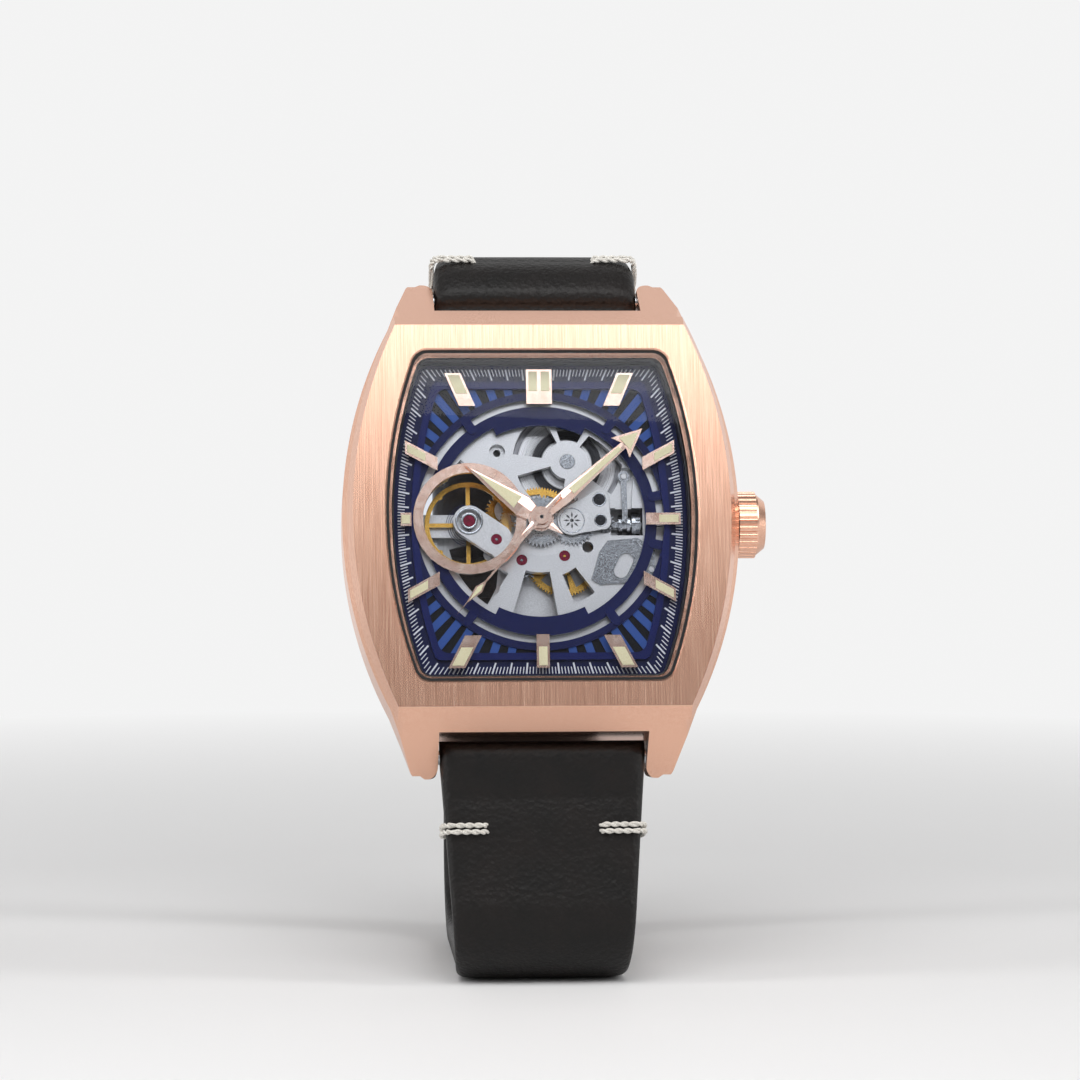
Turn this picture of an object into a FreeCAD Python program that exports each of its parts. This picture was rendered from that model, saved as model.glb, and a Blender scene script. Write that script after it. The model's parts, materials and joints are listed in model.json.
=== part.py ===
import FreeCAD, Part
import math
import os

V = FreeCAD.Vector

# A skeleton wristwatch buckled into a loop and standing on its strap, in millimetres.
# Row frame: X towards 3 o'clock, Y to the back, Z up, origin in the middle of the flat under the strap.
# The watch head has a frame of its own: x to 3 o'clock, y to 12 o'clock, z out of the dial,
# with z = 0 on the dial side of the main plate and the hands' axis at x = y = 0.

# ---- stance
LEAN = 14.0                      # degrees that the dial leans back from upright
HUB_HEIGHT = 49.0
BASE_LENGTH = 23.2               # flat of the strap on the table
FRONT_BEND = 6.0                 # centreline radius below the dial
BACK_BEND = 10.0
TOP_BEND = 6.0
SHOULDER_BEND = 11.0
TOP_RISE = 5.0                   # strap from the upper spring bar to its top corner
TOP_RISE_ANGLE = 50.0
TOP_FALL = 2.8                   # drop of the top run towards the back

# ---- bezel, crystal and case
BEZEL_HALF_WIDTH = 20.15
BEZEL_HALF_HEIGHT = 20.65
BEZEL_SIDE_RADIUS = 48.2
BEZEL_TOP = 4.6
BEZEL_SEAT = 2.9
BEZEL_FLARE = 0.6
BEZEL_EDGE = 0.18
OPENING_HALF_WIDTH = 16.6
OPENING_HALF_HEIGHT = 17.9
OPENING_SIDE_RADIUS = 50.2
OPENING_CORNER = 1.75
CRYSTAL_SEAT = 3.4
CRYSTAL_RISE = 0.25              # crystal edge above the bezel's inner step
CRYSTAL_DOME = 0.3
CRYSTAL_LEDGE = 0.6
GASKET_WALL = 0.3
CASE_HALF_WIDTH = 21.25
CASE_SIDE_RADIUS = 45.1
CASE_BOTTOM = -5.6
CASE_EDGE = 0.55
LUG_TIP_Y = 27.2
LUG_TIP_Z = -4.0
LUG_WIDTH = 2.7
LUG_CORNER = 1.1
NOTCH_Y = 22.95
BACK_THICKNESS = 1.4
BACK_HALF_WIDTH = 19.2
BACK_HALF_HEIGHT = 20.0
BACK_SIDE_RADIUS = 45.0
BACK_WINDOW = 13.4
BACK_GLASS_SEAT = -6.3
BACK_GLASS_THICKNESS = 0.9
BACK_SPIGOT = 0.4
BACK_SCREW_X = 13.6
BACK_SCREW_Y = 15.6
BACK_SCREW = 0.6
BACK_SCREW_HEAD = 1.0
SEAL_RADIUS = 17.0
SEAL_WALL = 0.7
SEAL_DEPTH = 0.5

# ---- strap, spring bars, keepers and buckle
STRAP_WIDTH = 22.0
STRAP_END_WIDTH = 18.0
STRAP_THICKNESS = 2.6
STRAP_EYE = 1.75                 # outer radius of the leather round a spring bar
STRAP_PLAY = 0.15
BAR_Y = 25.0
BAR_Z = -3.1
BAR_RADIUS = 0.75
BAR_PIN = 0.4
BAR_PIN_REACH = 1.3              # how far each pin stands in its lug
BAR_PIN_LENGTH = 2.6
BUCKLE_HEIGHT = 36.0
BUCKLE_REACH = 9.8
BUCKLE_ARM = 1.5
BUCKLE_BAR = 0.95
BUCKLE_PIN = 0.55
BUCKLE_PLAY = 0.35
TONGUE_WIDTH = 1.5
TONGUE_THICKNESS = 0.75
TONGUE_DROP = 1.6                # the tongue's hole below the buckle's pin
HOLE_PITCH = 6.5
HOLE_RADIUS = 0.85
HOLE_COUNT = 5
TAIL_TOP = 62.0
KEEPER_WALL = 1.0
KEEPER_HEIGHT = 4.6
KEEPER_PLAY = 0.25
FIXED_KEEPER_Z = 41.4
FREE_KEEPER_Z = 49.5

# ---- dial
DIAL_HALF_WIDTH = 15.95
DIAL_HALF_HEIGHT = 17.25
DIAL_BASE = 0.4
DIAL_THICKNESS = 0.35
FLANGE_WIDTH = 2.1
FLOOR_THICKNESS = 0.1            # thin floor that carries the slats
FRAME_WIDTH = 0.75
FRAME_TOP = 1.15
RING_OUTER = 14.1
RING_INNER = 13.3
CHAPTER_OUTER = 12.5
CHAPTER_INNER = 11.3
TAB_INNER = 10.45
TAB_HALF_ANGLE = 26.0
RING_RISE = 0.1                  # rings above the flange
POST_RADIUS = 0.5
SLAT_WIDTH = 0.85
MARKER_TOP = 1.75
BALANCE_RING_OUTER = 6.05
BALANCE_RING_INNER = 5.0
BALANCE_RING_TOP = 1.4

# ---- movement
PLATE_RADIUS = 14.3
PLATE_THICKNESS = 1.2
BRIDGE_TOP = -3.05
BRIDGE_THICKNESS = 0.4
CASING_WALL = 1.8
FIT = 0.05                       # play of a part in its seat
RUNNING = 0.035                  # radial clearance of a pivot
JEWEL_RADIUS = 0.6
JEWEL_THICKNESS = 0.35
PIVOT = 0.12
PILLAR = 0.6
PILLAR_BORE = 0.3
BRIDGE_INSET = 0.15              # bridge edge inside the plate's
SCREW_HEAD = 0.55
SCREW_SHANK = 0.27
SCREW_HEAD_HEIGHT = 0.25

BARREL = (3.05, 6.63)
BARREL_TEETH = 72
BARREL_DRUM = 5.9
CENTRE_PINION_TEETH = 12
CENTRE_TEETH = 80
THIRD_DISTANCE = 4.5
THIRD_ANGLE = -54.9
THIRD_PINION_TEETH = 10
THIRD_TEETH = 75
FOURTH_PINION_TEETH = 10
FOURTH_TEETH = 72
ESCAPE_PINION_TEETH = 8
ESCAPE_DISTANCE = 4.6
ESCAPE_ANGLE = -116.0
ESCAPE_TEETH = 20
ESCAPE_RADIUS = 2.1
PALLET = (-4.7, -1.85)
BALANCE = (-7.6, 0.15)
BALANCE_RADIUS = 4.7
BALANCE_RIM = 0.5
CANNON_TEETH = 12
MINUTE_WHEEL_TEETH = 36
MINUTE_PINION_TEETH = 10
HOUR_TEETH = 40
MOTION_DISTANCE = 3.375
SETTING_TEETH = 14
CROWN_WHEEL = (7.9, 0.0)
CROWN_WHEEL_TEETH = 24
RATCHET_TEETH = 58
CLICK_PIVOT = (-3.9, 8.3)

# ---- winding stem, along x
STEM_Z = -2.0
STEM_RADIUS = 0.45
STEM_INNER_END = 7.35
STEM_SQUARE = 0.6
WINDING_PINION_X = 9.95
WINDING_PINION_LENGTH = 0.9
WINDING_PINION_RADIUS = 1.4
CLUTCH_X = 8.55
CLUTCH_LENGTH = 1.25
CLUTCH_RADIUS = 1.1
CROWN_TRAVEL = 1.0
CROWN_RADIUS = 3.6
CROWN_LENGTH = 2.9
CROWN_CAP = 1.0
CROWN_STEP = 0.35
CROWN_GAP = 0.15
CROWN_FLUTES = 28
TUBE_RADIUS = 1.35
TUBE_BORE = 0.8
LEVER_GROOVE_X = 12.25
LEVER_PIVOT = (11.9, -5.2)
YOKE_PIVOT = (9.1, 5.0)

# ---- rotor
ROTOR_RADIUS = 13.5
ROTOR_RIM = 2.5
ROTOR_BOTTOM = -5.2
ROTOR_POST = 0.9
REVERSER_ANGLE = 150.0
ROTOR_PINION_TEETH = 24
REVERSER_TEETH = 28
ROTOR_MODULE = 0.15

# ---- hands, clockwise degrees from 12 o'clock
HOUR_ANGLE = 306.0
MINUTE_ANGLE = 48.5
SECOND_ANGLE = 221.0
HOUR_LENGTH = 10.06
MINUTE_LENGTH = 14.7
SECOND_LENGTH = 14.2
HOUR_HAND_Z = 1.6
MINUTE_HAND_Z = 2.15
SECOND_HAND_Z = 2.75


# ------------------------------------------------------------------ drawing helpers
def polar(radius, degrees, centre=(0.0, 0.0)):
    """Point at a distance and an anticlockwise angle from a centre."""
    a = math.radians(degrees)
    return (centre[0] + radius * math.cos(a), centre[1] + radius * math.sin(a))


def lines(*points):
    """Straight edges through flat points."""
    return [Part.makeLine(V(*p, 0), V(*q, 0)) for p, q in zip(points, points[1:])]


def arc(start, middle, end):
    return [Part.Arc(V(*start, 0), V(*middle, 0), V(*end, 0)).toShape()]


def plate(edges, bottom, top):
    """Solid over a flat outline."""
    face = Part.Face(Part.Wire(edges))
    face.translate(V(0, 0, bottom))
    return face.extrude(V(0, 0, top - bottom))


def polygon(points, bottom, top):
    return plate(lines(*points, points[0]), bottom, top)


def disc(radius, bottom, top, centre=(0.0, 0.0)):
    return Part.makeCylinder(radius, top - bottom, V(*centre, bottom))


def ring(outer, inner, bottom, top, centre=(0.0, 0.0)):
    return disc(outer, bottom, top, centre).cut(disc(inner, bottom, top, centre))


def box(low, high):
    return Part.makeBox(high[0] - low[0], high[1] - low[1], high[2] - low[2], V(*low))


def rod_x(radius, start, end, y=0.0, z=STEM_Z):
    """Round bar along x."""
    return Part.makeCylinder(radius, end - start, V(start, y, z), V(1, 0, 0))


def fuse(first, *others):
    return first.multiFuse(list(others)).removeSplitter() if others else first


def cut(solid, *tools):
    return solid.cut(Part.makeCompound(list(tools)))


def group(shapes):
    return Part.makeCompound([s for shape in shapes for s in shape.Solids])


def stadium(start, end, radius, bottom, top):
    """Bar with round ends between two flat points."""
    angle = math.degrees(math.atan2(end[1] - start[1], end[0] - start[0]))
    left, right = angle + 90, angle - 90
    edges = lines(polar(radius, right, start), polar(radius, right, end))
    edges += arc(polar(radius, right, end), polar(radius, angle, end), polar(radius, left, end))
    edges += lines(polar(radius, left, end), polar(radius, left, start))
    edges += arc(polar(radius, left, start), polar(radius, angle + 180, start), polar(radius, right, start))
    return plate(edges, bottom, top)


def sector(inner, outer, first, last, bottom, top, centre=(0.0, 0.0)):
    """Part of a ring between two angles."""
    middle = (first + last) / 2
    edges = arc(polar(outer, first, centre), polar(outer, middle, centre), polar(outer, last, centre))
    edges += lines(polar(outer, last, centre), polar(inner, last, centre))
    edges += arc(polar(inner, last, centre), polar(inner, middle, centre), polar(inner, first, centre))
    edges += lines(polar(inner, first, centre), polar(outer, first, centre))
    return plate(edges, bottom, top)


def round_upright_edges(solid, radius, where=lambda x, y: True):
    """Fillets the edges that run along z and pass through the places picked."""
    picked = []
    for edge in solid.Edges:
        if len(edge.Vertexes) < 2:
            continue
        a, b = edge.Vertexes[0].Point, edge.Vertexes[-1].Point
        if math.hypot(a.x - b.x, a.y - b.y) < 1e-6 and abs(a.z - b.z) > 1e-3 and where(a.x, a.y):
            picked.append(edge)
    return solid.makeFillet(radius, picked)


def side_x(half_width, radius, y):
    """Half width of a barrel-shaped outline at height y."""
    return half_width - radius + math.sqrt(radius ** 2 - y ** 2)


def tonneau_edges(half_width, half_height, radius):
    """Barrel-shaped outline: bulging sides and straight ends."""
    x, y = side_x(half_width, radius, half_height), half_height
    edges = arc((x, -y), (half_width, 0), (x, y)) + lines((x, y), (-x, y))
    return edges + arc((-x, y), (-half_width, 0), (-x, -y)) + lines((-x, -y), (x, -y))


def tonneau(half_width, half_height, radius, bottom, top, corner=0.0):
    solid = plate(tonneau_edges(half_width, half_height, radius), bottom, top)
    return round_upright_edges(solid, corner) if corner else solid


def opening(inset, bottom, top):
    """The dial opening's outline, moved inwards all round."""
    return tonneau(OPENING_HALF_WIDTH - inset, OPENING_HALF_HEIGHT - inset,
                   OPENING_SIDE_RADIUS - inset, bottom, top, OPENING_CORNER - inset * 0.5)


def gear(teeth, module, bottom, top, centre, phase, share=0.46, addendum=1.0):
    """Wheel blank with straight-flanked teeth. phase is the angle of a tooth's middle."""
    pitch = 360.0 / teeth
    radius = teeth * module / 2
    root, tip = radius - 1.25 * module, radius + addendum * module
    points = []
    for n in range(teeth):
        middle = phase + n * pitch
        for r, part in ((root, -0.74), (tip, -0.28), (tip, 0.28), (root, 0.74)):
            points.append(polar(r, middle + part * pitch * share, centre))
    return polygon(points, bottom, top)


def meshing_phase(phase, teeth, other_teeth, direction):
    """Phase of a gear whose gap meets a tooth of the first one, seen along direction."""
    moved = (phase - direction) * teeth / other_teeth
    return direction + 180 + 180 / other_teeth - moved


def spokes(count, width, inner, outer, bottom, top, centre, phase):
    """Windows that leave a wheel's spokes standing."""
    gap = math.degrees(width / (inner + outer))
    step = 360.0 / count
    return [sector(inner, outer, phase + n * step + gap, phase + (n + 1) * step - gap,
                   bottom, top, centre) for n in range(count)]


def coil(first_radius, pitch, half_turns, thickness, bottom, top, centre):
    """Flat spiral strip of half circles, each larger than the last by half a pitch."""
    def crossing(n, offset):
        side = 1 if n % 2 == 0 else -1
        return centre[0] + side * (first_radius + n * pitch / 2 + offset)

    def half_circle(n, offset, backwards):
        a, b = crossing(n, offset), crossing(n + 1, offset)
        lift = abs(b - a) / 2 * (1 if n % 2 == 0 else -1)
        ends = [(a, centre[1]), (b, centre[1])]
        if backwards:
            ends.reverse()
        return arc(ends[0], ((a + b) / 2, centre[1] + lift), ends[1])

    half = thickness / 2
    edges = []
    for n in range(half_turns):
        edges += half_circle(n, half, False)
    edges += lines((crossing(half_turns, half), centre[1]), (crossing(half_turns, -half), centre[1]))
    for n in reversed(range(half_turns)):
        edges += half_circle(n, -half, True)
    edges += lines((crossing(0, -half), centre[1]), (crossing(0, half), centre[1]))
    return plate(edges, bottom, top)


# ------------------------------------------------------------------ the case
LUG_INNER = STRAP_WIDTH / 2 + STRAP_PLAY
LUG_OUTER = LUG_INNER + LUG_WIDTH
CAVITY = PLATE_RADIUS + FIT + CASING_WALL + FIT
SLOPE = (BEZEL_TOP - LUG_TIP_Z) / (LUG_TIP_Y - BEZEL_HALF_HEIGHT)
CROWN_START = CASE_HALF_WIDTH + CROWN_GAP


def side_profile():
    """Everything under the sloping tops of the lugs, seen from 3 o'clock."""
    tip = (LUG_TIP_Y, LUG_TIP_Z)
    foot = (LUG_TIP_Y - 0.5, CASE_BOTTOM)
    half = [(BEZEL_HALF_HEIGHT, BEZEL_TOP), tip, foot]
    points = half + [(-y, z) for y, z in reversed(half)]
    reach = 2 * CASE_HALF_WIDTH
    wire = Part.makePolygon([V(-reach, y, z) for y, z in points + points[:1]])
    return Part.Face(wire).extrude(V(2 * reach, 0, 0))


def case_blank():
    shoulder = (side_x(CASE_HALF_WIDTH, CASE_SIDE_RADIUS, BEZEL_HALF_HEIGHT), BEZEL_HALF_HEIGHT)
    right = [shoulder, (LUG_OUTER, LUG_TIP_Y), (LUG_INNER, LUG_TIP_Y), (LUG_INNER, NOTCH_Y)]
    left = [(-x, y) for x, y in reversed(right)]
    edges = arc((shoulder[0], -shoulder[1]), (CASE_HALF_WIDTH, 0), shoulder)
    edges += lines(*right, *left)
    edges += arc(left[-1], (-CASE_HALF_WIDTH, 0), (-shoulder[0], -shoulder[1]))
    edges += lines(*[(x, -y) for x, y in reversed(left)], *[(x, -y) for x, y in reversed(right)])
    blank = plate(edges, CASE_BOTTOM, BEZEL_SEAT)
    blank = round_upright_edges(blank, LUG_CORNER, lambda x, y: abs(abs(y) - LUG_TIP_Y) < 0.01)
    return blank.common(side_profile())


def edge_breaks():
    """Wedges that break the long edges of the case's flanks, all the way out to the lug tips."""
    wide = 2.0
    shells = []
    for level, up in ((BEZEL_SEAT, 1), (CASE_BOTTOM, -1)):
        outer = tonneau_edges(CASE_HALF_WIDTH + wide, LUG_TIP_Y + wide, CASE_SIDE_RADIUS + wide)
        block = plate(outer, min(level, level - up * wide), max(level, level - up * wide))
        near = Part.Wire(tonneau_edges(CASE_HALF_WIDTH - CASE_EDGE, LUG_TIP_Y + wide,
                                       CASE_SIDE_RADIUS - CASE_EDGE))
        far = Part.Wire(tonneau_edges(CASE_HALF_WIDTH - CASE_EDGE + wide * 0.55, LUG_TIP_Y + wide,
                                      CASE_SIDE_RADIUS - CASE_EDGE + wide * 0.55))
        near.translate(V(0, 0, level))
        far.translate(V(0, 0, level - up * wide))
        shells.append(block.cut(Part.makeLoft([near, far], True, True)))
    return shells


def case_middle():
    body = cut(case_blank(), *edge_breaks())
    tools = [disc(CAVITY, CASE_BOTTOM - 1, DIAL_BASE)]
    seat = OPENING_HALF_WIDTH - DIAL_HALF_WIDTH - 2 * FIT
    tools.append(opening(seat, DIAL_BASE, BEZEL_SEAT + 1))
    tools.append(ring(SEAL_RADIUS + SEAL_WALL / 2 + FIT, SEAL_RADIUS - SEAL_WALL / 2 - FIT,
                      CASE_BOTTOM - 1, CASE_BOTTOM + SEAL_DEPTH))
    tools.append(rod_x(TUBE_RADIUS, 0, 2 * CASE_HALF_WIDTH))
    for sx in (-1, 1):
        for sy in (-1, 1):
            at = (sx * BACK_SCREW_X, sy * BACK_SCREW_Y)
            tools.append(disc(BACK_SCREW, CASE_BOTTOM - 1, CASE_BOTTOM + 2, at))
            start = LUG_INNER if sx > 0 else -LUG_INNER - BAR_PIN_REACH - FIT
            tools.append(rod_x(BAR_PIN + RUNNING, start, start + BAR_PIN_REACH + FIT, sy * BAR_Y, BAR_Z))
    return cut(body, *tools)


def bezel():
    drop = BEZEL_TOP - BEZEL_SEAT
    foot = Part.Wire(tonneau_edges(BEZEL_HALF_WIDTH + BEZEL_FLARE, BEZEL_HALF_HEIGHT + drop / SLOPE,
                                   BEZEL_SIDE_RADIUS + BEZEL_FLARE))
    face = Part.Wire(tonneau_edges(BEZEL_HALF_WIDTH, BEZEL_HALF_HEIGHT, BEZEL_SIDE_RADIUS))
    foot.translate(V(0, 0, BEZEL_SEAT))
    face.translate(V(0, 0, BEZEL_TOP))
    body = Part.makeLoft([foot, face], True, True)
    body = body.cut(opening(0, CRYSTAL_SEAT, BEZEL_TOP + 1))
    body = body.cut(opening(CRYSTAL_LEDGE, BEZEL_SEAT - 1, BEZEL_TOP + 1))
    rim = [e for e in body.Edges if abs(e.BoundBox.ZMin - BEZEL_TOP) < 1e-4
           and e.BoundBox.XLength < 2 * OPENING_HALF_WIDTH + 0.1
           and max(abs(e.BoundBox.XMin), abs(e.BoundBox.XMax)) < OPENING_HALF_WIDTH + 0.01
           and max(abs(e.BoundBox.YMin), abs(e.BoundBox.YMax)) < OPENING_HALF_HEIGHT + 0.01]
    return body.makeChamfer(BEZEL_EDGE, rim)


def crystal():
    """Flat below, and a shallow dome above."""
    inset = GASKET_WALL + FIT
    edge = BEZEL_TOP + CRYSTAL_RISE - 0.35
    top = edge + CRYSTAL_DOME
    slab = opening(inset, CRYSTAL_SEAT, top)
    half = math.hypot(OPENING_HALF_WIDTH, OPENING_HALF_HEIGHT)
    dome_radius = (half ** 2 + CRYSTAL_DOME ** 2) / (2 * CRYSTAL_DOME)
    dome = Part.makeSphere(dome_radius, V(0, 0, top - dome_radius))
    return slab.common(dome)


def crystal_gasket():
    return opening(0, CRYSTAL_SEAT, BEZEL_TOP - 0.3).cut(opening(GASKET_WALL, CRYSTAL_SEAT - 1, BEZEL_TOP))


def case_back():
    low = CASE_BOTTOM - BACK_THICKNESS
    body = tonneau(BACK_HALF_WIDTH, BACK_HALF_HEIGHT, BACK_SIDE_RADIUS, low, CASE_BOTTOM, 1.5)
    spigot = ring(CAVITY - FIT, BACK_WINDOW + 1.2, CASE_BOTTOM, CASE_BOTTOM + BACK_SPIGOT)
    tools = [disc(BACK_WINDOW, low - 1, CASE_BOTTOM + 1),
             disc(BACK_WINDOW + 0.6, BACK_GLASS_SEAT, CASE_BOTTOM + 1)]
    for sx in (-1, 1):
        for sy in (-1, 1):
            at = (sx * BACK_SCREW_X, sy * BACK_SCREW_Y)
            tools.append(disc(BACK_SCREW + FIT, low - 1, CASE_BOTTOM + 1, at))
            tools.append(disc(BACK_SCREW_HEAD + FIT, low - 1, low + 0.7, at))
    body = cut(fuse(body, spigot), *tools)
    rim = [e for e in body.Edges if e.BoundBox.ZMax < low + 1e-3
           and e.BoundBox.DiagonalLength > 2 * BACK_WINDOW + 2]
    return body.makeChamfer(0.45, rim) if rim else body


def case_back_glass():
    return disc(BACK_WINDOW + 0.6 - FIT, BACK_GLASS_SEAT, BACK_GLASS_SEAT + BACK_GLASS_THICKNESS)


def case_back_gasket():
    return ring(SEAL_RADIUS + SEAL_WALL / 2, SEAL_RADIUS - SEAL_WALL / 2,
                CASE_BOTTOM, CASE_BOTTOM + SEAL_DEPTH - FIT)


def slotted_screw(head, shank, head_low, head_high, tip, centre, angle=20.0):
    """Screw along z. tip may lie above or below the head."""
    low, high = min(tip, head_low), max(tip, head_high)
    body = fuse(disc(head, head_low, head_high, centre), disc(shank, low, high, centre))
    slot_low = head_low if tip > head_low else head_high - 0.12
    slot = box((-head, -0.07, slot_low - 0.01), (head, 0.07, slot_low + 0.13))
    slot.rotate(V(0, 0, 0), V(0, 0, 1), angle)
    slot.translate(V(*centre, 0))
    return body.cut(slot)


def case_back_screws():
    low = CASE_BOTTOM - BACK_THICKNESS
    return group(slotted_screw(BACK_SCREW_HEAD, BACK_SCREW - FIT / 2, low + 0.05, low + 0.7,
                               CASE_BOTTOM + 1.8, (sx * BACK_SCREW_X, sy * BACK_SCREW_Y), 35 * sx * sy)
                 for sx in (-1, 1) for sy in (-1, 1))


def movement_ring():
    body = ring(CAVITY - FIT, PLATE_RADIUS + FIT, CASE_BOTTOM + BACK_SPIGOT + 0.3, DIAL_BASE)
    return body.cut(rod_x(STEM_RADIUS + 0.3, 0, CAVITY + 1))


def crown_tube():
    body = rod_x(TUBE_RADIUS, CAVITY + FIT, CROWN_START + 1.3)
    return body.cut(rod_x(TUBE_BORE, 0, 2 * CASE_HALF_WIDTH))


def spring_bars():
    """The two sprung tubes, bored for their sliding pins."""
    bars = []
    for sy in (-1, 1):
        tube = rod_x(BAR_RADIUS, -LUG_INNER + FIT, LUG_INNER - FIT, sy * BAR_Y, BAR_Z)
        bore = [rod_x(BAR_PIN + RUNNING, s * LUG_INNER - (4 if s > 0 else 0),
                      s * LUG_INNER + (0 if s > 0 else 4), sy * BAR_Y, BAR_Z) for s in (-1, 1)]
        bars.append(cut(tube, *bore))
    return group(bars)


def spring_bar_pins(side):
    """The sprung pins at one end of both bars, standing in the lugs."""
    pins = []
    for sy in (-1, 1):
        start = LUG_INNER + BAR_PIN_REACH - BAR_PIN_LENGTH if side > 0 else -LUG_INNER - BAR_PIN_REACH
        pins.append(rod_x(BAR_PIN, start, start + BAR_PIN_LENGTH, sy * BAR_Y, BAR_Z))
    return group(pins)


# ------------------------------------------------------------------ the dial
MARKERS = {                      # clock hour: (inner end, outer end, width), ends cut square to the frame
    12: ((0.0, 12.6), (0.0, 16.4), 2.76),
    1: ((7.76, 12.4), (9.3, 16.0), 1.6),
    2: ((11.0, 6.03), (14.46, 7.9), 1.25),
    3: ((11.3, 0.0), (15.0, 0.0), 1.28),
    4: ((10.9, -6.4), (14.3, -8.3), 1.25),
    5: ((7.4, -12.6), (9.2, -16.1), 1.6),
    6: ((0.0, -12.5), (0.0, -16.1), 1.38),
    7: ((-7.4, -12.6), (-9.2, -16.1), 1.6),
    8: ((-10.9, -6.4), (-14.3, -8.3), 1.25),
    9: ((-13.85, 0.0), (-15.0, 0.0), 1.43),
    10: ((-11.0, 6.03), (-14.46, 7.9), 1.25),
    11: ((-7.76, 12.4), (-9.3, 16.0), 1.6),
}


def marker(hour, bottom, top):
    """Bar on its hour line, its ends level with the dial's top or with its sides."""
    inner, outer, width = MARKERS[hour]
    upright = abs(outer[1]) > abs(outer[0])
    slant = math.hypot(outer[0] - inner[0], outer[1] - inner[1])
    run = abs(outer[1] - inner[1]) if upright else abs(outer[0] - inner[0])
    half = width / 2 * slant / run
    side = (half, 0.0) if upright else (0.0, half)
    points = [(inner[0] - side[0], inner[1] - side[1]), (inner[0] + side[0], inner[1] + side[1]),
              (outer[0] + side[0], outer[1] + side[1]), (outer[0] - side[0], outer[1] - side[1])]
    return polygon(points, bottom, top)


def dial_frame():
    """Flange, raised frame, slats, outer ring, inner ring and the posts between them."""
    base, top = DIAL_BASE, DIAL_BASE + DIAL_THICKNESS
    width, height = DIAL_HALF_WIDTH, DIAL_HALF_HEIGHT
    radius = OPENING_SIDE_RADIUS - OPENING_HALF_WIDTH + width

    def outline(inset, bottom, level, corner):
        return tonneau(width - inset, height - inset, radius - inset, bottom, level, corner)

    inner_edge = FLANGE_WIDTH + FRAME_WIDTH
    flange = outline(0, base, top, OPENING_CORNER).cut(outline(FLANGE_WIDTH, base, top, 0.8))
    frame = outline(FLANGE_WIDTH, base, FRAME_TOP, 0.8)
    frame = frame.cut(outline(inner_edge, base - 1, FRAME_TOP + 1, 1.2))
    frame = frame.cut(disc(RING_INNER, base - 1, FRAME_TOP + 1))
    outer_ring = ring(RING_OUTER, RING_INNER, base, top + RING_RISE)
    inner_ring = ring(CHAPTER_OUTER, CHAPTER_INNER, base, top + RING_RISE)
    tabs = [sector(TAB_INNER, CHAPTER_INNER + 0.1, a - TAB_HALF_ANGLE, a + TAB_HALF_ANGLE,
                   base, top + RING_RISE)
            for a in (90, 270)]
    posts = [stadium(polar(CHAPTER_OUTER - 0.2, a), polar(RING_INNER + 0.2, a), POST_RADIUS, base, top + 0.2)
             for a in (54, 126, 180, 234, 306, 12, -12)]
    inside = outline(inner_edge - 0.1, base, top, 1.2).cut(disc(RING_OUTER - 0.1, base - 1, top + 1))
    slats = []
    for corner in (1, -1):
        for angle in (33, 39, 45, 51, 57, 63, 70, 77):
            for sign in (1, -1):
                bar = stadium(polar(RING_OUTER - 0.3, sign * angle), polar(22, sign * angle),
                              SLAT_WIDTH / 2, base, top - 0.1)
                if corner < 0:
                    bar = bar.mirror(V(0, 0, 0), V(1, 0, 0))
                slats.append(bar.common(inside))
    floor = inside.common(disc(2 * height, base, base + FLOOR_THICKNESS))
    solid = fuse(flange, frame, outer_ring, inner_ring, floor, *tabs, *posts, *slats)
    window = disc(BALANCE_RING_INNER, base - 1, FRAME_TOP + 1, BALANCE)
    seat = disc(BALANCE_RING_OUTER + FIT, top + RING_RISE, FRAME_TOP + 1, BALANCE)
    return cut(solid, window, seat)


def balance_ring():
    """Polished ring round the balance, over the dial's inner ring."""
    low = DIAL_BASE + DIAL_THICKNESS + RING_RISE
    return ring(BALANCE_RING_OUTER, BALANCE_RING_INNER, low, BALANCE_RING_TOP, BALANCE)


def hour_markers():
    """Applied bars that stand on the top face of the dial."""
    low = FRAME_TOP
    return group(marker(hour, low, MARKER_TOP) for hour in MARKERS)


# ------------------------------------------------------------------ the movement
HUB = (0.0, 0.0)
THIRD = polar(THIRD_DISTANCE, THIRD_ANGLE)
ESCAPE = polar(ESCAPE_DISTANCE, ESCAPE_ANGLE)
MINUTE_WHEEL = (MOTION_DISTANCE, 0.0)
BARREL_DISTANCE = math.hypot(*BARREL)
BARREL_ANGLE = math.degrees(math.atan2(BARREL[1], BARREL[0]))
BARREL_MODULE = 2 * BARREL_DISTANCE / (BARREL_TEETH + CENTRE_PINION_TEETH)
CENTRE_MODULE = 2 * THIRD_DISTANCE / (CENTRE_TEETH + THIRD_PINION_TEETH)
THIRD_MODULE = 2 * THIRD_DISTANCE / (THIRD_TEETH + FOURTH_PINION_TEETH)
FOURTH_MODULE = 2 * ESCAPE_DISTANCE / (FOURTH_TEETH + ESCAPE_PINION_TEETH)
CANNON_MODULE = 2 * MOTION_DISTANCE / (CANNON_TEETH + MINUTE_WHEEL_TEETH)
HOUR_MODULE = 2 * MOTION_DISTANCE / (MINUTE_PINION_TEETH + HOUR_TEETH)
SETTING_WHEEL = (MOTION_DISTANCE + CANNON_MODULE * (MINUTE_WHEEL_TEETH + SETTING_TEETH) / 2, 0.0)
WINDING_DISTANCE = math.hypot(CROWN_WHEEL[0] - BARREL[0], CROWN_WHEEL[1] - BARREL[1])
WINDING_ANGLE = math.degrees(math.atan2(CROWN_WHEEL[1] - BARREL[1], CROWN_WHEEL[0] - BARREL[0]))
WINDING_MODULE = 2 * WINDING_DISTANCE / (RATCHET_TEETH + CROWN_WHEEL_TEETH)
ROTOR_DISTANCE = ROTOR_MODULE * (ROTOR_PINION_TEETH + REVERSER_TEETH) / 2
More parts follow.
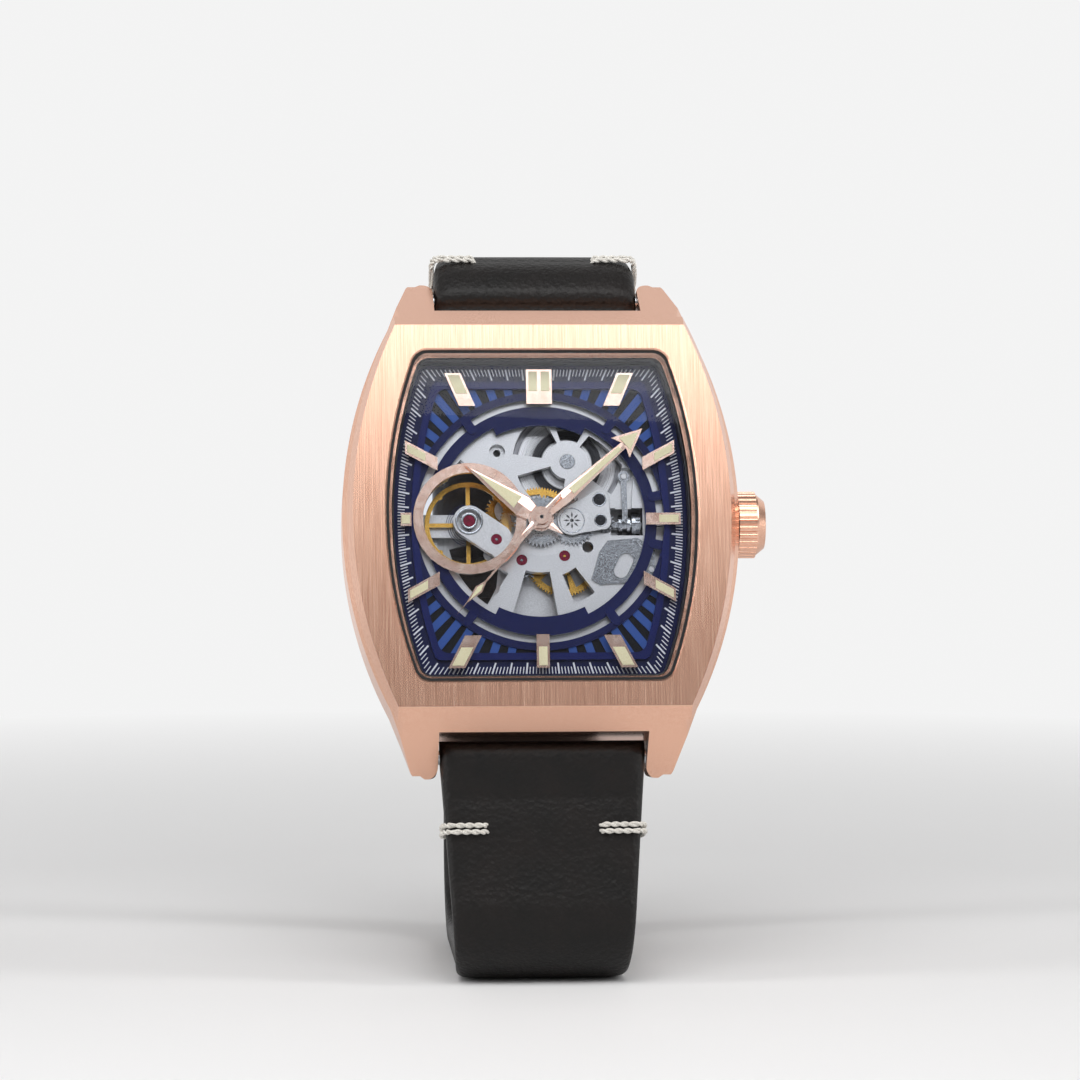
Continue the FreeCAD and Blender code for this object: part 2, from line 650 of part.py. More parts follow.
REVERSER = polar(ROTOR_DISTANCE, REVERSER_ANGLE)

PLATE_LOW = -PLATE_THICKNESS
BRIDGE_LOW = BRIDGE_TOP - BRIDGE_THICKNESS
BARREL_PIVOT = 0.8
BALANCE_STAFF = 0.25
LEVER_LOW, LEVER_HIGH = -0.5, -0.1

PLATE_JEWELS = (THIRD, ESCAPE, PALLET)
BRIDGE_JEWELS = (HUB, THIRD, ESCAPE, BALANCE)
BARREL_PILLARS = ((13.0, 3.6), (9.9, 9.3), (-3.2, 12.6))
TRAIN_PILLARS = ((-6.0, -11.6), (6.5, -11.4), (10.6, -7.4))
COCK_PILLAR = (-13.3, BALANCE[1])
PALLET_PILLAR = (-5.3, -3.15)


def setting_recess():
    """Room in the plate for the setting lever and the yoke, through their whole swing."""
    low, high = LEVER_LOW - 0.1, 0.01
    lever = polygon([(11.0, -6.1), (13.0, -6.1), (13.95, 0.5), (11.4, 0.5)], low, high)
    yoke = polygon([(8.1, -0.25), (9.75, -0.25), (10.2, 5.9), (8.2, 5.9)], low, high)
    slot = box((LEVER_GROOVE_X - 0.35, -0.45, PLATE_LOW - 0.01),
               (LEVER_GROOVE_X + CROWN_TRAVEL + 0.35, 0.3, 0))
    return [lever, yoke, slot]


def main_plate():
    body = disc(PLATE_RADIUS, PLATE_LOW, 0)
    boss_low = STEM_Z - STEM_RADIUS - 0.4
    bosses = [box((11.15, -1.2, boss_low), (LEVER_GROOVE_X - 0.4, 1.2, PLATE_LOW)),
              box((LEVER_GROOVE_X + CROWN_TRAVEL + 0.4, -0.8, boss_low), (14.2, 0.8, PLATE_LOW))]
    low, high = PLATE_LOW - 0.01, 0.01
    windows = [
        sector(2.3, 5.9, 62, 108, low, high, BARREL),
        sector(2.3, 5.9, 118, 172, low, high, BARREL),
        sector(1.9, 5.6, 196, 262, low, high, BARREL),
        sector(2.1, 5.9, -38, 50, low, high, BARREL),
        sector(5.5, 10.7, -107, -80, low, high),
        sector(6.2, 9.6, -68, -53, low, high),
        sector(6.6, 10.7, -152, -122, low, high),
        sector(8.3, 10.9, 141, 158, low, high),
    ]
    reach = disc(CHAPTER_INNER - 0.4, low, high)
    windows = [w.common(reach) for w in windows]
    eye = disc(BALANCE_RING_INNER + 0.1, low, high, BALANCE)
    carrier = stadium((BALANCE[0], BALANCE[1]), PALLET, 1.7, PLATE_LOW, -0.05)
    arm = stadium(PALLET, (PALLET[0] + 3, PALLET[1] - 3), 1.5, PLATE_LOW, -0.05)
    windows.append(cut(eye, carrier, arm))
    windows.append(box((CLUTCH_X - 0.95, -1.5, low), (11.05, 1.5, high)))
    windows.append(disc(SETTING_TEETH * CANNON_MODULE / 2 + 0.3, low, high, SETTING_WHEEL))
    holes = [disc(BARREL_PIVOT + RUNNING, low, high, BARREL), disc(1.05, -0.6, high, HUB),
             disc(0.45 + RUNNING, low, high, HUB), disc(0.35, -0.5, high, MINUTE_WHEEL)]
    for at in PLATE_JEWELS:
        holes += [disc(0.32, low, high, at), disc(JEWEL_RADIUS, -JEWEL_THICKNESS - 0.1, high, at)]
    holes += [disc(1.3, -0.55, high, BALANCE), disc(0.5, low, high, BALANCE)]
    holes += [disc(0.85, -0.7, high, (-4.5, 7.7)), disc(0.4, low, high, (-4.5, 7.7)),
              disc(0.72, -0.5, high, (6.37, 2.28)), disc(0.6, low, high, (5.1, -2.75)),
              disc(0.6, low, high, (-8.55, -3.4)), disc(0.7, low, high, (-5.1, -7.2))]
    body = cut(fuse(body, *bosses), *windows, *holes, *setting_recess(),
               rod_x(STEM_RADIUS + RUNNING, STEM_INNER_END - 1, PLATE_RADIUS + 1))
    posts = [disc(0.3, LEVER_LOW - 0.1, 0, LEVER_PIVOT), disc(0.3, LEVER_LOW - 0.1, 0, YOKE_PIVOT),
             disc(0.3 - RUNNING, -0.5, 0.42, MINUTE_WHEEL)]
    bridge = stadium((SETTING_WHEEL[0], -2.2), (SETTING_WHEEL[0], 2.2), 0.6, PLATE_LOW, -0.8)
    posts.append(bridge)
    posts.append(disc(0.28, -0.9, 0.35, SETTING_WHEEL))
    return fuse(body, *posts)


def jewel(centre, bottom, top, bore, radius=JEWEL_RADIUS):
    return ring(radius, bore, bottom, top, centre)


def jewels():
    """Pivot jewels of the plate and of the bridges, with the balance's setting and cap stone."""
    low, high = -JEWEL_THICKNESS - 0.1, -0.1
    stones = [jewel(at, low, high, PIVOT + RUNNING) for at in PLATE_JEWELS]
    stones += [jewel(at, BRIDGE_LOW + 0.02, BRIDGE_TOP - 0.03, PIVOT + RUNNING) for at in BRIDGE_JEWELS]
    stones.append(jewel(PALLET, PALLET_COCK_LOW, PALLET_COCK_TOP, PIVOT + RUNNING, 0.4))
    stones.append(jewel(BALANCE, -0.55, -0.3, PIVOT + RUNNING, 0.75))
    stones.append(disc(0.6, -0.28, -0.02, BALANCE))
    return group(stones)


PALLET_COCK_TOP, PALLET_COCK_LOW = -1.98, -2.2


def bridge_holes(places):
    low, high = BRIDGE_LOW - 0.01, BRIDGE_TOP + 0.01
    return [disc(JEWEL_RADIUS, low, high, at) for at in places]


def pillars(places):
    return [ring(PILLAR, PILLAR_BORE, BRIDGE_TOP, PLATE_LOW, at) for at in places]


def barrel_bridge():
    """Carries the barrel, the crown wheel, the ratchet wheel and the click."""
    body = disc(PLATE_RADIUS - BRIDGE_INSET, BRIDGE_LOW, BRIDGE_TOP)
    keep = polygon([(-5.4, 14.5), (-5.4, 6.2), (-1.0, 2.4), (4.5, 1.2), (6.3, -3.0), (14.5, -3.0),
                    (14.5, 14.5)], BRIDGE_LOW - 1, BRIDGE_TOP + 1)
    body = body.common(keep)
    post = disc(0.8, BRIDGE_LOW - 0.45, BRIDGE_LOW, CROWN_WHEEL)
    stud = disc(0.35, BRIDGE_LOW - 0.45, BRIDGE_LOW, CLICK_PIVOT)
    body = fuse(body, post, stud, *pillars(BARREL_PILLARS))
    low, high = BRIDGE_LOW - 1, BRIDGE_TOP + 0.01
    pinion = WINDING_PINION_X + WINDING_PINION_LENGTH / 2
    room = WINDING_PINION_LENGTH / 2 + 0.15
    tools = [disc(BARREL_PIVOT + RUNNING, low, high, BARREL),
             rod_x(WINDING_PINION_RADIUS + 0.15, pinion - room, pinion + room),
             rod_x(CLUTCH_RADIUS + 0.1, CLUTCH_X - 0.85, CLUTCH_X + CLUTCH_LENGTH + 0.15)]
    tools += [disc(PILLAR_BORE, BRIDGE_LOW - 0.01, high, at) for at in BARREL_PILLARS]
    tools.append(disc(0.3, low, BRIDGE_LOW + 0.1, CROWN_WHEEL))
    return cut(body, *tools)


def train_bridge():
    """Carries the third, fourth and escape wheels, and the rotor's post."""
    body = disc(PLATE_RADIUS - BRIDGE_INSET, BRIDGE_LOW, BRIDGE_TOP)
    keep = polygon([(-8.9, -14.5), (-4.6, -6.6), (-4.0, -1.4), (-1.2, 2.2), (4.4, 1.0), (6.2, -3.2),
                    (14.0, -3.2), (14.5, -14.5)], BRIDGE_LOW - 1, BRIDGE_TOP + 1)
    lower = 0.2
    body = body.common(keep)
    rest = stadium(HUB, REVERSER, 1.3, BRIDGE_LOW - lower, BRIDGE_LOW)
    post = ring(ROTOR_POST, 0.45, -5.0, BRIDGE_LOW)
    stud = disc(0.4, -4.45, BRIDGE_LOW - lower, REVERSER)
    body = fuse(body, rest, post, stud, *pillars(TRAIN_PILLARS))
    tools = bridge_holes([at for at in BRIDGE_JEWELS if at != BALANCE])
    tools += [disc(PILLAR_BORE, BRIDGE_LOW - 0.01, BRIDGE_TOP + 0.01, at) for at in TRAIN_PILLARS]
    tools.append(disc(0.45, -5.1, BRIDGE_TOP, HUB))
    return cut(body, *tools)


def balance_cock():
    body = stadium(COCK_PILLAR, BALANCE, 1.25, BRIDGE_LOW, BRIDGE_TOP)
    body = body.common(disc(PLATE_RADIUS - BRIDGE_INSET, BRIDGE_LOW - 1, BRIDGE_TOP + 1))
    foot = [disc(PILLAR - 0.1, BRIDGE_TOP, PLATE_LOW, COCK_PILLAR)]
    stud = disc(0.2, BRIDGE_TOP, HAIRSPRING_HIGH, (BALANCE[0] - HAIRSPRING_END - 0.23, BALANCE[1]))
    tools = bridge_holes([BALANCE]) + [disc(PILLAR_BORE, BRIDGE_LOW - 0.01, BRIDGE_TOP + 0.01, COCK_PILLAR)]
    return fuse(cut(body, *tools), *foot, stud)


def pallet_cock():
    """Small bridge under the pallet fork, inside the balance's rim."""
    body = stadium(PALLET_PILLAR, PALLET, 0.7, PALLET_COCK_LOW, PALLET_COCK_TOP)
    foot = disc(0.3, PALLET_COCK_TOP, PLATE_LOW, PALLET_PILLAR)
    return fuse(body.cut(disc(0.4, PALLET_COCK_LOW, PALLET_COCK_TOP, PALLET)), foot)


def movement_screws():
    """Screws of the bridges, of the crown wheel and of the setting-lever jumper."""
    head_low = BRIDGE_LOW - SCREW_HEAD_HEIGHT
    screws = [slotted_screw(SCREW_HEAD, SCREW_SHANK, head_low, BRIDGE_LOW, BRIDGE_TOP + 0.9, at, 25 * n)
              for n, at in enumerate(BARREL_PILLARS + TRAIN_PILLARS)]
    screws.append(slotted_screw(SCREW_HEAD, SCREW_SHANK, head_low, BRIDGE_LOW, BRIDGE_TOP - 0.02,
                                COCK_PILLAR, 70))
    low = BRIDGE_LOW - 0.45
    screws.append(slotted_screw(1.2, SCREW_SHANK, low - 0.15, low, BRIDGE_LOW + 0.08, CROWN_WHEEL, 50))
    high = JUMPER_HIGH
    screws.append(slotted_screw(0.45, 0.25, high, high + 0.15, 0.03, JUMPER_SCREW, 40))
    return group(screws)


JUMPER_LOW, JUMPER_HIGH = 0.02, 0.24
JUMPER_SCREW = (6.2, -5.9)


def setting_lever_jumper():
    """Spring plate that covers the setting lever."""
    points = [(5.4, -6.3), (6.3, -3.3), (7.2, -2.1), (10.4, -1.8), (11.9, -2.6), (12.3, -5.2),
              (11.6, -6.6), (7.2, -6.8), (6.4, -6.9)]
    body = polygon(points, JUMPER_LOW, JUMPER_HIGH)
    body = body.common(disc(CHAPTER_INNER + 1.0, JUMPER_LOW, JUMPER_HIGH))
    eye = stadium((8.6, -5.4), (9.2, -4.2), 0.75, JUMPER_LOW - 1, JUMPER_HIGH + 1)
    return cut(body, eye, disc(0.27, JUMPER_LOW - 1, JUMPER_HIGH + 1, JUMPER_SCREW))


# ---- going train
CENTRE_LOW, CENTRE_HIGH = -1.50, -1.32
BARREL_TEETH_LOW, BARREL_TEETH_HIGH = -2.00, -1.70
THIRD_LOW, THIRD_HIGH = -2.40, -2.22
FOURTH_LOW, FOURTH_HIGH = -2.92, -2.76
ESCAPE_LOW, ESCAPE_HIGH = -1.85, -1.70
CENTRE_ARBOR = 0.45
CENTRE_BORE = 0.2
FOURTH_ARBOR = 0.13

CENTRE_PINION_PHASE = BARREL_ANGLE
BARREL_PHASE = meshing_phase(CENTRE_PINION_PHASE, CENTRE_PINION_TEETH, BARREL_TEETH, BARREL_ANGLE)
CENTRE_PHASE = THIRD_ANGLE
THIRD_PINION_PHASE = meshing_phase(CENTRE_PHASE, CENTRE_TEETH, THIRD_PINION_TEETH, THIRD_ANGLE)
THIRD_PHASE = THIRD_ANGLE + 180
FOURTH_PINION_PHASE = meshing_phase(THIRD_PHASE, THIRD_TEETH, FOURTH_PINION_TEETH, THIRD_ANGLE + 180)
FOURTH_PHASE = ESCAPE_ANGLE
ESCAPE_PINION_PHASE = meshing_phase(FOURTH_PHASE, FOURTH_TEETH, ESCAPE_PINION_TEETH, ESCAPE_ANGLE)


def centre_wheel():
    """Centre wheel with its pinion and the hollow arbor that the cannon pinion sits on."""
    wheel = gear(CENTRE_TEETH, CENTRE_MODULE, CENTRE_LOW, CENTRE_HIGH, HUB, CENTRE_PHASE)
    wheel = cut(wheel, *spokes(5, 0.5, 1.3, 3.3, CENTRE_LOW, CENTRE_HIGH, HUB, 10))
    pinion = gear(CENTRE_PINION_TEETH, BARREL_MODULE, BARREL_TEETH_LOW - 0.02, BARREL_TEETH_HIGH + 0.04,
                  HUB, CENTRE_PINION_PHASE, 0.40, 0.8)
    arbor = disc(CENTRE_ARBOR, BARREL_TEETH_LOW - 0.04, 0.9, HUB)
    solid = fuse(arbor, wheel, pinion, disc(0.75, BARREL_TEETH_HIGH, CENTRE_LOW, HUB))
    return solid.cut(disc(CENTRE_BORE, -3, 3, HUB))


def barrel():
    """Toothed drum and lid, closed round the mainspring."""
    teeth = gear(BARREL_TEETH, BARREL_MODULE, BARREL_TEETH_LOW, BARREL_TEETH_HIGH, BARREL, BARREL_PHASE,
                 0.44, 0.8)
    drum = disc(BARREL_DRUM, -2.62, -1.62, BARREL)
    hollow = disc(BARREL_DRUM - 0.35, -2.50, -1.74, BARREL)
    return cut(fuse(drum, teeth), hollow, disc(BARREL_PIVOT + RUNNING, -3, 0, BARREL))


def mainspring():
    return coil(1.75, 0.42, 17, 0.2, -2.46, -1.78, BARREL)


def barrel_arbor():
    core = disc(1.45, -2.47, -1.77, BARREL)
    shaft = disc(BARREL_PIVOT, BRIDGE_LOW - 0.02, 0.1, BARREL)
    square = box((-0.55, -0.55, BRIDGE_LOW - 0.4), (0.55, 0.55, BRIDGE_LOW))
    square.translate(V(*BARREL, 0))
    slot = box((BARREL[0] - 0.5, BARREL[1] - 0.08, -0.02), (BARREL[0] + 0.5, BARREL[1] + 0.08, 0.2))
    return fuse(core, shaft, square).cut(slot)


def third_wheel():
    wheel = gear(THIRD_TEETH, THIRD_MODULE, THIRD_LOW, THIRD_HIGH, THIRD, THIRD_PHASE)
    wheel = cut(wheel, *spokes(5, 0.45, 0.9, 3.3, THIRD_LOW, THIRD_HIGH, THIRD, 0))
    pinion = gear(THIRD_PINION_TEETH, CENTRE_MODULE, -1.56, -1.26, THIRD, THIRD_PINION_PHASE, 0.40, 0.8)
    arbor = disc(0.25, THIRD_HIGH, -1.56, THIRD)
    pivot = disc(PIVOT, BRIDGE_LOW + 0.05, -0.15, THIRD)
    return fuse(pivot, arbor, pinion, wheel)


def fourth_wheel():
    """Runs once a minute; its long arbor passes through the centre to the seconds hand."""
    wheel = gear(FOURTH_TEETH, FOURTH_MODULE, FOURTH_LOW, FOURTH_HIGH, HUB, FOURTH_PHASE)
    wheel = cut(wheel, *spokes(5, 0.45, 1.0, 3.5, FOURTH_LOW, FOURTH_HIGH, HUB, 30))
    pinion = gear(FOURTH_PINION_TEETH, THIRD_MODULE, -2.46, -2.14, HUB, FOURTH_PINION_PHASE, 0.40, 0.8)
    arbor = disc(FOURTH_ARBOR, -3.02, SECOND_HAND_Z + 0.15, HUB)
    collar = disc(0.3, FOURTH_HIGH, -2.46, HUB)
    return fuse(arbor, disc(PIVOT, BRIDGE_LOW + 0.05, -3.0, HUB), pinion, collar, wheel)


def escape_wheel():
    """Club-toothed wheel with its pinion."""
    points = []
    step = 360.0 / ESCAPE_TEETH
    for n in range(ESCAPE_TEETH):
        a = n * step
        points += [polar(ESCAPE_RADIUS - 0.45, a, ESCAPE), polar(ESCAPE_RADIUS - 0.1, a + 2.6, ESCAPE),
                   polar(ESCAPE_RADIUS, a + 6.4, ESCAPE), polar(ESCAPE_RADIUS - 0.45, a + 5.5, ESCAPE)]
    wheel = polygon(points, ESCAPE_LOW, ESCAPE_HIGH)
    wheel = cut(wheel, *spokes(4, 0.3, 0.5, 1.4, ESCAPE_LOW, ESCAPE_HIGH, ESCAPE, 0))
    pinion = gear(ESCAPE_PINION_TEETH, FOURTH_MODULE, -3.0, -2.66, ESCAPE, ESCAPE_PINION_PHASE, 0.38, 0.7)
    arbor = disc(0.2, -2.66, ESCAPE_LOW, ESCAPE)
    return fuse(disc(PIVOT, BRIDGE_LOW + 0.05, -0.15, ESCAPE), arbor, pinion, wheel)


def pallet_fork():
    """Lever with two stones over the escape wheel and a fork towards the roller."""
    low, high = -1.85, -1.65
    to_escape = math.degrees(math.atan2(ESCAPE[1] - PALLET[1], ESCAPE[0] - PALLET[0]))
    to_balance = math.degrees(math.atan2(BALANCE[1] - PALLET[1], BALANCE[0] - PALLET[0]))
    reach = math.hypot(BALANCE[0] - PALLET[0], BALANCE[1] - PALLET[1])
    lever = stadium(PALLET, polar(reach - 1.0, to_balance, PALLET), 0.17, low, high)
    parts = [disc(0.35, low, high, PALLET)]
    for side in (-1, 1):
        parts.append(stadium(PALLET, polar(1.7, to_escape + side * 38, PALLET), 0.16, low, high))
        horn = polar(reach - 0.95, to_balance + side * 5.0, PALLET)
        parts.append(stadium(horn, polar(reach - 0.55, to_balance + side * 5.0, PALLET), 0.07, low, high))
        stone = box((1.45, -0.09, low), (2.05, 0.09, high))
        stone.rotate(V(0, 0, 0), V(0, 0, 1), to_escape + side * 38)
        stone.translate(V(*PALLET, 0))
        parts.append(stone)
    parts.append(stadium(polar(reach - 0.95, to_balance - 5.0, PALLET),
                         polar(reach - 0.95, to_balance + 5.0, PALLET), 0.08, low, high))
    arbor = disc(PIVOT, PALLET_COCK_LOW + 0.03, -0.15, PALLET)
    return fuse(arbor, disc(0.2, low, PLATE_LOW - 0.1, PALLET), lever, *parts)


HAIRSPRING_LOW, HAIRSPRING_HIGH = -2.98, -2.86
HAIRSPRING_HALF_TURNS = 17
HAIRSPRING_START = 0.51
HAIRSPRING_PITCH = 0.22
HAIRSPRING_END = HAIRSPRING_START + HAIRSPRING_HALF_TURNS * HAIRSPRING_PITCH / 2
RIM_LOW, RIM_HIGH = -2.68, -2.33
BALANCE_SPOKES = 4


def balance_wheel():
    rim = ring(BALANCE_RADIUS, BALANCE_RADIUS - BALANCE_RIM, RIM_LOW, RIM_HIGH, BALANCE)
    hub = ring(0.6, BALANCE_STAFF, RIM_LOW, RIM_HIGH - 0.1, BALANCE)
    arms = [stadium(polar(0.5, 90 * n, BALANCE), polar(BALANCE_RADIUS - 0.3, 90 * n, BALANCE), 0.22,
                    RIM_LOW + 0.05, RIM_HIGH - 0.1).cut(disc(BALANCE_STAFF, -3, 0, BALANCE))
            for n in range(BALANCE_SPOKES)]
    weights = [disc(0.32, RIM_HIGH - 0.02, RIM_HIGH + 0.08, polar(BALANCE_RADIUS - 0.25 - BALANCE_RIM / 4,
                                                                  45 + 90 * n, BALANCE)) for n in range(4)]
    return fuse(rim, hub, *arms, *weights)


def balance_staff():
    """Staff with the roller, its impulse pin and the hairspring's collet."""
    to_pallet = math.degrees(math.atan2(PALLET[1] - BALANCE[1], PALLET[0] - BALANCE[0]))
    parts = [disc(BALANCE_STAFF, HAIRSPRING_LOW, PLATE_LOW - 0.1, BALANCE),
             disc(0.85, -2.15, -1.97, BALANCE),
             disc(0.09, -1.98, -1.66, polar(0.6, to_pallet, BALANCE)),
             disc(0.48, HAIRSPRING_LOW, RIM_LOW - 0.02, BALANCE)]
    return fuse(disc(PIVOT, BRIDGE_LOW + 0.05, -0.32, BALANCE), *parts)


def hairspring():
    return coil(HAIRSPRING_START, HAIRSPRING_PITCH, HAIRSPRING_HALF_TURNS, 0.05,
                HAIRSPRING_LOW, HAIRSPRING_HIGH, BALANCE)


# ---- motion works
CANNON_PHASE = 0.0
MINUTE_PHASE = meshing_phase(CANNON_PHASE, CANNON_TEETH, MINUTE_WHEEL_TEETH, 0.0)
SETTING_PHASE = meshing_phase(MINUTE_PHASE, MINUTE_WHEEL_TEETH, SETTING_TEETH, 0.0)
HOUR_PHASE = 0.0
MINUTE_PINION_PHASE = meshing_phase(HOUR_PHASE, HOUR_TEETH, MINUTE_PINION_TEETH, 0.0)
CANNON_PIPE = 0.62
HOUR_PIPE = 0.85


def cannon_pinion():
    """Friction-tight on the centre arbor; carries the minute hand."""
    pinion = gear(CANNON_TEETH, CANNON_MODULE, 0.02, 0.4, HUB, CANNON_PHASE, 0.40, 0.8)
    solid = fuse(pinion, disc(CANNON_PIPE, 0.4, MINUTE_HAND_Z, HUB), disc(0.42, MINUTE_HAND_Z, 2.5, HUB))
    return solid.cut(disc(CENTRE_ARBOR, -1, 0.9, HUB)).cut(disc(CENTRE_BORE, 0, 3, HUB))


def hour_wheel():
    wheel = gear(HOUR_TEETH, HOUR_MODULE, 0.48, 0.66, HUB, HOUR_PHASE)
    solid = fuse(wheel, disc(HOUR_PIPE, 0.66, HOUR_HAND_Z + 0.2, HUB))
    return solid.cut(disc(CANNON_PIPE + RUNNING, 0, 3, HUB))


def minute_wheel():
    wheel = gear(MINUTE_WHEEL_TEETH, CANNON_MODULE, 0.1, 0.28, MINUTE_WHEEL, MINUTE_PHASE)
    pinion = gear(MINUTE_PINION_TEETH, HOUR_MODULE, 0.28, 0.72, MINUTE_WHEEL, MINUTE_PINION_PHASE, 0.40, 0.8)
    bore = disc(0.3, -1, 0.45, MINUTE_WHEEL)
    return fuse(wheel, pinion).cut(bore)


def setting_wheel():
    wheel = gear(SETTING_TEETH, CANNON_MODULE, -0.6, 0.3, SETTING_WHEEL, SETTING_PHASE, 0.42, 0.8)
    return wheel.cut(disc(0.28 + RUNNING, -1, 1, SETTING_WHEEL))


# ---- hands
def turned(shape, clock_angle):
    """Turns a shape that points to 12 o'clock clockwise by an angle."""
    shape.rotate(V(0, 0, 0), V(0, 0, 1), -clock_angle)
    return shape


def hour_hand():
    low, high = HOUR_HAND_Z, HOUR_HAND_Z + 0.25
    blade = polygon([(-0.55, 0), (-1.2, 2.4), (0, HOUR_LENGTH), (1.2, 2.4), (0.55, 0)], low, high)
    tail = polygon([(-0.75, 0), (0.75, 0), (0, -2.9)], low, high)
    solid = fuse(blade, tail, disc(1.35, low, high))
    return turned(solid.cut(disc(HOUR_PIPE, 0, 3)), HOUR_ANGLE)


def minute_hand():
    low, high = MINUTE_HAND_Z, MINUTE_HAND_Z + 0.25
    head_base = MINUTE_LENGTH - 2.7
    blade = polygon([(-0.5, 0), (-0.75, 3.6), (-0.38, head_base), (0.38, head_base), (0.75, 3.6),
                     (0.5, 0)], low, high)
    barb = head_base - 0.5
    head = polygon([(-1.45, barb), (0, MINUTE_LENGTH), (1.45, barb), (0, head_base + 0.1)], low, high)
    tail = polygon([(-0.7, 0), (0.7, 0), (0, -2.9)], low, high)
    solid = fuse(blade, head, tail, disc(1.1, low, high))
    return turned(solid.cut(disc(0.42, 0, 3)), MINUTE_ANGLE)


def seconds_hand():
    low, high = SECOND_HAND_Z, SECOND_HAND_Z + 0.2
    needle = polygon([(-0.2, 0), (-0.1, 9.3), (-0.45, 10.4), (0, 12.3), (0, SECOND_LENGTH), (0.08, 12.3),
                      (0.45, 10.4), (0.1, 9.3), (0.2, 0)], low, high)
    tail = polygon([(-0.35, 0), (0.35, 0), (0.1, -3.2), (-0.1, -3.2)], low, high)
    solid = fuse(needle, tail, disc(0.75, low, high))
    return turned(solid.cut(disc(FOURTH_ARBOR, 0, 4)), SECOND_ANGLE)


# ---- winding and setting
RATCHET_PHASE = WINDING_ANGLE
CROWN_WHEEL_PHASE = meshing_phase(RATCHET_PHASE, RATCHET_TEETH, CROWN_WHEEL_TEETH, WINDING_ANGLE)
RATCHET_LOW, RATCHET_HIGH = BRIDGE_LOW - 0.4, BRIDGE_LOW - 0.06


def ratchet_wheel():
    body = gear(RATCHET_TEETH, WINDING_MODULE, RATCHET_LOW, RATCHET_HIGH, BARREL, RATCHET_PHASE, 0.46, 0.8)
    square = box((-0.55, -0.55, RATCHET_LOW - 1), (0.55, 0.55, RATCHET_HIGH + 1))
    square.translate(V(*BARREL, 0))
    groove = ring(4.3, 1.6, RATCHET_LOW - 1, RATCHET_LOW + 0.08, BARREL)
    return cut(body, square, groove)


def crown_wheel():
    body = gear(CROWN_WHEEL_TEETH, WINDING_MODULE, RATCHET_LOW, RATCHET_HIGH, CROWN_WHEEL,
                CROWN_WHEEL_PHASE, 0.46, 0.8)
    return body.cut(disc(0.8 + RUNNING, -6, 0, CROWN_WHEEL))


def click():
    """Pawl whose beak stands at the ratchet wheel's teeth."""
    tip_radius = (RATCHET_TEETH / 2 + 0.8) * WINDING_MODULE + 0.06
    angle = math.degrees(math.atan2(CLICK_PIVOT[1] - BARREL[1], CLICK_PIVOT[0] - BARREL[0]))
    tip = polar(tip_radius, angle - 14, BARREL)
    back = polar(tip_radius + 0.6, angle - 12, BARREL)
    heel = polar(0.62, angle, CLICK_PIVOT)
    body = polygon([tip, back, heel, polar(0.62, angle + 150, CLICK_PIVOT)], RATCHET_LOW, RATCHET_HIGH)
    body = fuse(body, disc(0.62, RATCHET_LOW, RATCHET_HIGH, CLICK_PIVOT))
    return body.cut(disc(0.35 + RUNNING, -6, 0, CLICK_PIVOT))


def along_x(shape, start):
    """Turns a shape drawn along z to lie along the stem, from start."""
    shape.rotate(V(0, 0, 0), V(0, 1, 0), 90)
    shape.translate(V(start, 0, STEM_Z))
    return shape


def crown():
    """Fluted crown with a stepped cap, hollow round the crown tube."""
    knurl_length = CROWN_LENGTH - CROWN_CAP
    body = disc(CROWN_RADIUS, 0, knurl_length)
    cap = disc(CROWN_RADIUS - CROWN_STEP, knurl_length, knurl_length + 0.2)
    cone = Part.makeCone(CROWN_RADIUS - CROWN_STEP, CROWN_RADIUS - 1.0, 0.8, V(0, 0, knurl_length + 0.2))
    flutes = [disc(0.24, -1, knurl_length + 0.01, polar(CROWN_RADIUS + 0.06, 360.0 * n / CROWN_FLUTES))
              for n in range(CROWN_FLUTES)]
    body = fuse(cut(body, *flutes), cap, cone)
    body = body.cut(disc(TUBE_RADIUS + 0.08, -1, 1.6))
    hub = disc(STEM_RADIUS + 0.25, 0.9, 1.7)
    return along_x(fuse(body, hub).cut(disc(STEM_RADIUS, -1, 2.2)), CROWN_START)


def stem():
    """Winding stem with its pilot, clutch square and lever groove."""
    end = CROWN_START + 2.2
    body = rod_x(STEM_RADIUS, WINDING_PINION_X - 0.1, end)
    groove = rod_x(STEM_RADIUS + 1, LEVER_GROOVE_X - 0.25, LEVER_GROOVE_X + 0.25)
    groove = groove.cut(rod_x(0.26, 0, end))
    half = STEM_SQUARE / 2
    square = box((STEM_INNER_END, -half, STEM_Z - half), (WINDING_PINION_X, half, STEM_Z + half))
    return fuse(body.cut(groove), square)


def winding_pinion():
    """Crown-toothed pinion that turns round the stem."""
    start, end = WINDING_PINION_X, WINDING_PINION_X + WINDING_PINION_LENGTH
    teeth = 16
    body = rod_x(WINDING_PINION_RADIUS, start, end)
    gaps = []
    for n in range(teeth):
        gap = box((start + 0.4, -0.12, WINDING_PINION_RADIUS - 0.3),
                  (end + 1, 0.12, WINDING_PINION_RADIUS + 1))
        gap.rotate(V(0, 0, 0), V(1, 0, 0), 360.0 * (n + 0.5) / teeth)
        gap.translate(V(0, 0, STEM_Z))
        gaps.append(gap)
    return cut(body, *gaps, rod_x(STEM_RADIUS + RUNNING, start - 1, end + 1))


